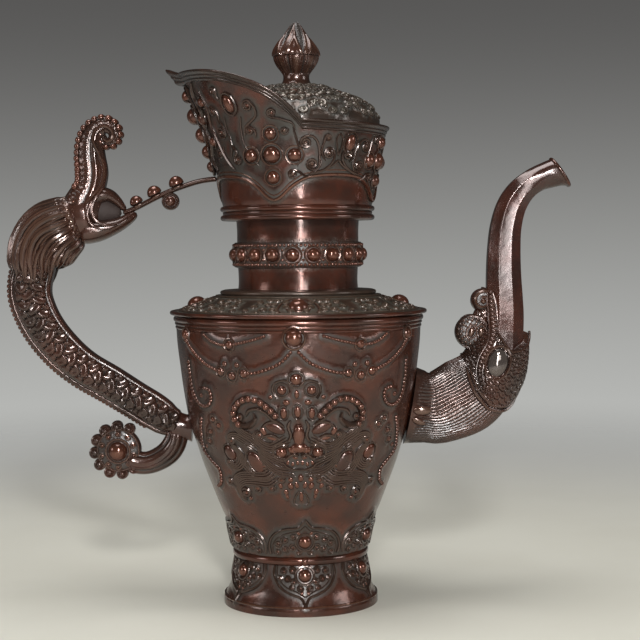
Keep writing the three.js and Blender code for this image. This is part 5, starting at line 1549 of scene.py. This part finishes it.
# The pipe's mouth is cut on a slant and hollowed
mouth_middle = Vector((spout_root[0] + 78.9, 0, spout_root[1] + 120.8))
slant = math.radians(34.5)
mouth_faces = Vector((math.cos(slant), 0, math.sin(slant)))
bm = bmesh.new()
bm.from_mesh(skin("spout_pipe_raw", tube_arm, 0.8, 128, pipe_relief))
parts = list(bm.verts) + list(bm.edges) + list(bm.faces)
cut = bmesh.ops.bisect_plane(bm, geom=parts, dist=0.0001, plane_co=mouth_middle, plane_no=mouth_faces,
                             clear_outer=True)["geom_cut"]
rim_points = [v.co.copy() for v in cut if isinstance(v, bmesh.types.BMVert)]
cap = bmesh.ops.contextual_create(bm, geom=[e for e in cut if isinstance(e, bmesh.types.BMEdge)])["faces"]
bmesh.ops.inset_region(bm, faces=cap, thickness=1.1, depth=0.0)
bore = bmesh.ops.extrude_face_region(bm, geom=cap)
deep = [v for v in bore["geom"] if isinstance(v, bmesh.types.BMVert)]
bmesh.ops.delete(bm, geom=cap, context="FACES_ONLY")
bmesh.ops.translate(bm, verts=deep, vec=(-15.5, 0, -5.5))
middle = sum((v.co for v in deep), Vector()) / len(deep)
bmesh.ops.scale(bm, verts=deep, vec=(0.72, 0.72, 0.72), space=Matrix.Translation(-middle))
show(meshed("spout_pipe", bm), spout_finish, ("spout_tube",), crease=60)
rim_middle = sum(rim_points, Vector()) / len(rim_points)
across_mouth = Vector((-mouth_faces.z, 0, mouth_faces.x))
rim_points.sort(key=lambda p: math.atan2((p - rim_middle).y, (p - rim_middle).dot(across_mouth)))
lip_ring = [rim_middle + (p - rim_middle) * 0.97 for p in rim_points[::2]]
show(plain(drawn("spout_lip", [(lip_ring, [0.95] * len(lip_ring), True)], 3), 0.0, 0.6), moulding_finish)


# Floor, light and camera, in metres

floor_bm = bmesh.new()
bmesh.ops.create_circle(floor_bm, cap_ends=True, segments=96, radius=2.4)
floor_mesh = bpy.data.meshes.new("floor")
floor_bm.to_mesh(floor_mesh)
floor_bm.free()
floor = bpy.data.objects.new("floor", floor_mesh)
bpy.context.scene.collection.objects.link(floor)
cloth = Finish("pale_floor")
reach = cloth.node("ShaderNodeVectorMath", {"operation": "LENGTH"}, {0: cloth.place}, "Value")
mottle = cloth.noise(9.0, 4.0).between(0.3, 0.7) * 0.25
near_colour = cloth.blend(mottle, paint(206, 204, 192), paint(190, 186, 172))
cloth.set(Base_Color=cloth.blend(reach.between(0.2, 0.75), near_colour, paint(196, 196, 192)),
    Roughness=0.75)
clear = cloth.node("ShaderNodeBsdfTransparent", {}, {})
faded = cloth.node("ShaderNodeMixShader", {}, {0: reach.between(0.35, 1.1),
    1: Value(cloth, cloth.shader.outputs[0]), 2: clear})
cloth.join(cloth.tree.nodes["Material Output"].inputs["Surface"], faded)
floor_mesh.materials.append(cloth.material)

# Each lamp is a name, a place, a width, a height and a power; all face the ewer
for name, place, wide, tall, power in (("key", (0.06, -1.15, 0.6), 0.12, 0.12, 10.0),
                                       ("strip", (0.115, -1.15, 0.28), 0.05, 0.6, 4.4),
                                       ("front", (0.25, -1.15, 0.3), 0.18, 0.24, 1.05),
                                       ("overhead", (-0.2, -0.1, 1.5), 0.8, 0.8, 13.0),
                                       ("left_fill", (-1.3, -0.5, 0.5), 0.4, 0.4, 3.0),
                                       ("right_fill", (1.2, -0.4, 0.6), 0.4, 0.4, 3.0)):
    light = bpy.data.lights.new(name, "AREA")
    light.shape = "RECTANGLE"
    light.size = wide
    light.size_y = tall
    light.energy = power
    lamp = bpy.data.objects.new(name, light)
    lamp.location = place
    lamp.rotation_euler = (Vector((axis_x, 0, 0.15)) - Vector(place)).to_track_quat("-Z", "Y").to_euler()
    bpy.context.scene.collection.objects.link(lamp)

world = bpy.data.worlds.new("studio")
bpy.context.scene.world = world
sky = Nodes(world)
gaze = sky.node("ShaderNodeTexCoord", {}, {}, "Generated")
upward = sky.node("ShaderNodeSeparateXYZ", {}, {0: gaze}, "Z")
shade = sky.blend(upward.between(-0.2, 0.17), paint(194, 195, 192), paint(86, 85, 84))
mirrored = sky.node("ShaderNodeLightPath", {}, {}, "Is Glossy Ray")
sky.join(world.node_tree.nodes["Background"].inputs["Color"],
    sky.blend(mirrored * 0.75, shade, paint(20, 19, 18)))

# The camera stands as the photograph's did, with a focal length of 1590 columns of a picture of 640
camera_data = bpy.data.cameras.new("camera")
camera_data.sensor_width = 36
camera_data.lens = 36 * 1590 / 640
camera = bpy.data.objects.new("camera", camera_data)
camera.location = (axis_x, -0.826, 0.188)
turn_right, tilt_down, roll = math.radians(0.775), math.radians(2.86), math.radians(-0.5)
sight = Vector((math.sin(turn_right), math.cos(turn_right), -math.tan(tilt_down)))
camera.rotation_mode = "QUATERNION"
camera.rotation_quaternion = sight.to_track_quat("-Z", "Y") @ Quaternion((0, 0, 1), roll)
bpy.context.scene.collection.objects.link(camera)
bpy.context.scene.camera = camera
bpy.context.scene.view_settings.view_transform = "Standard"
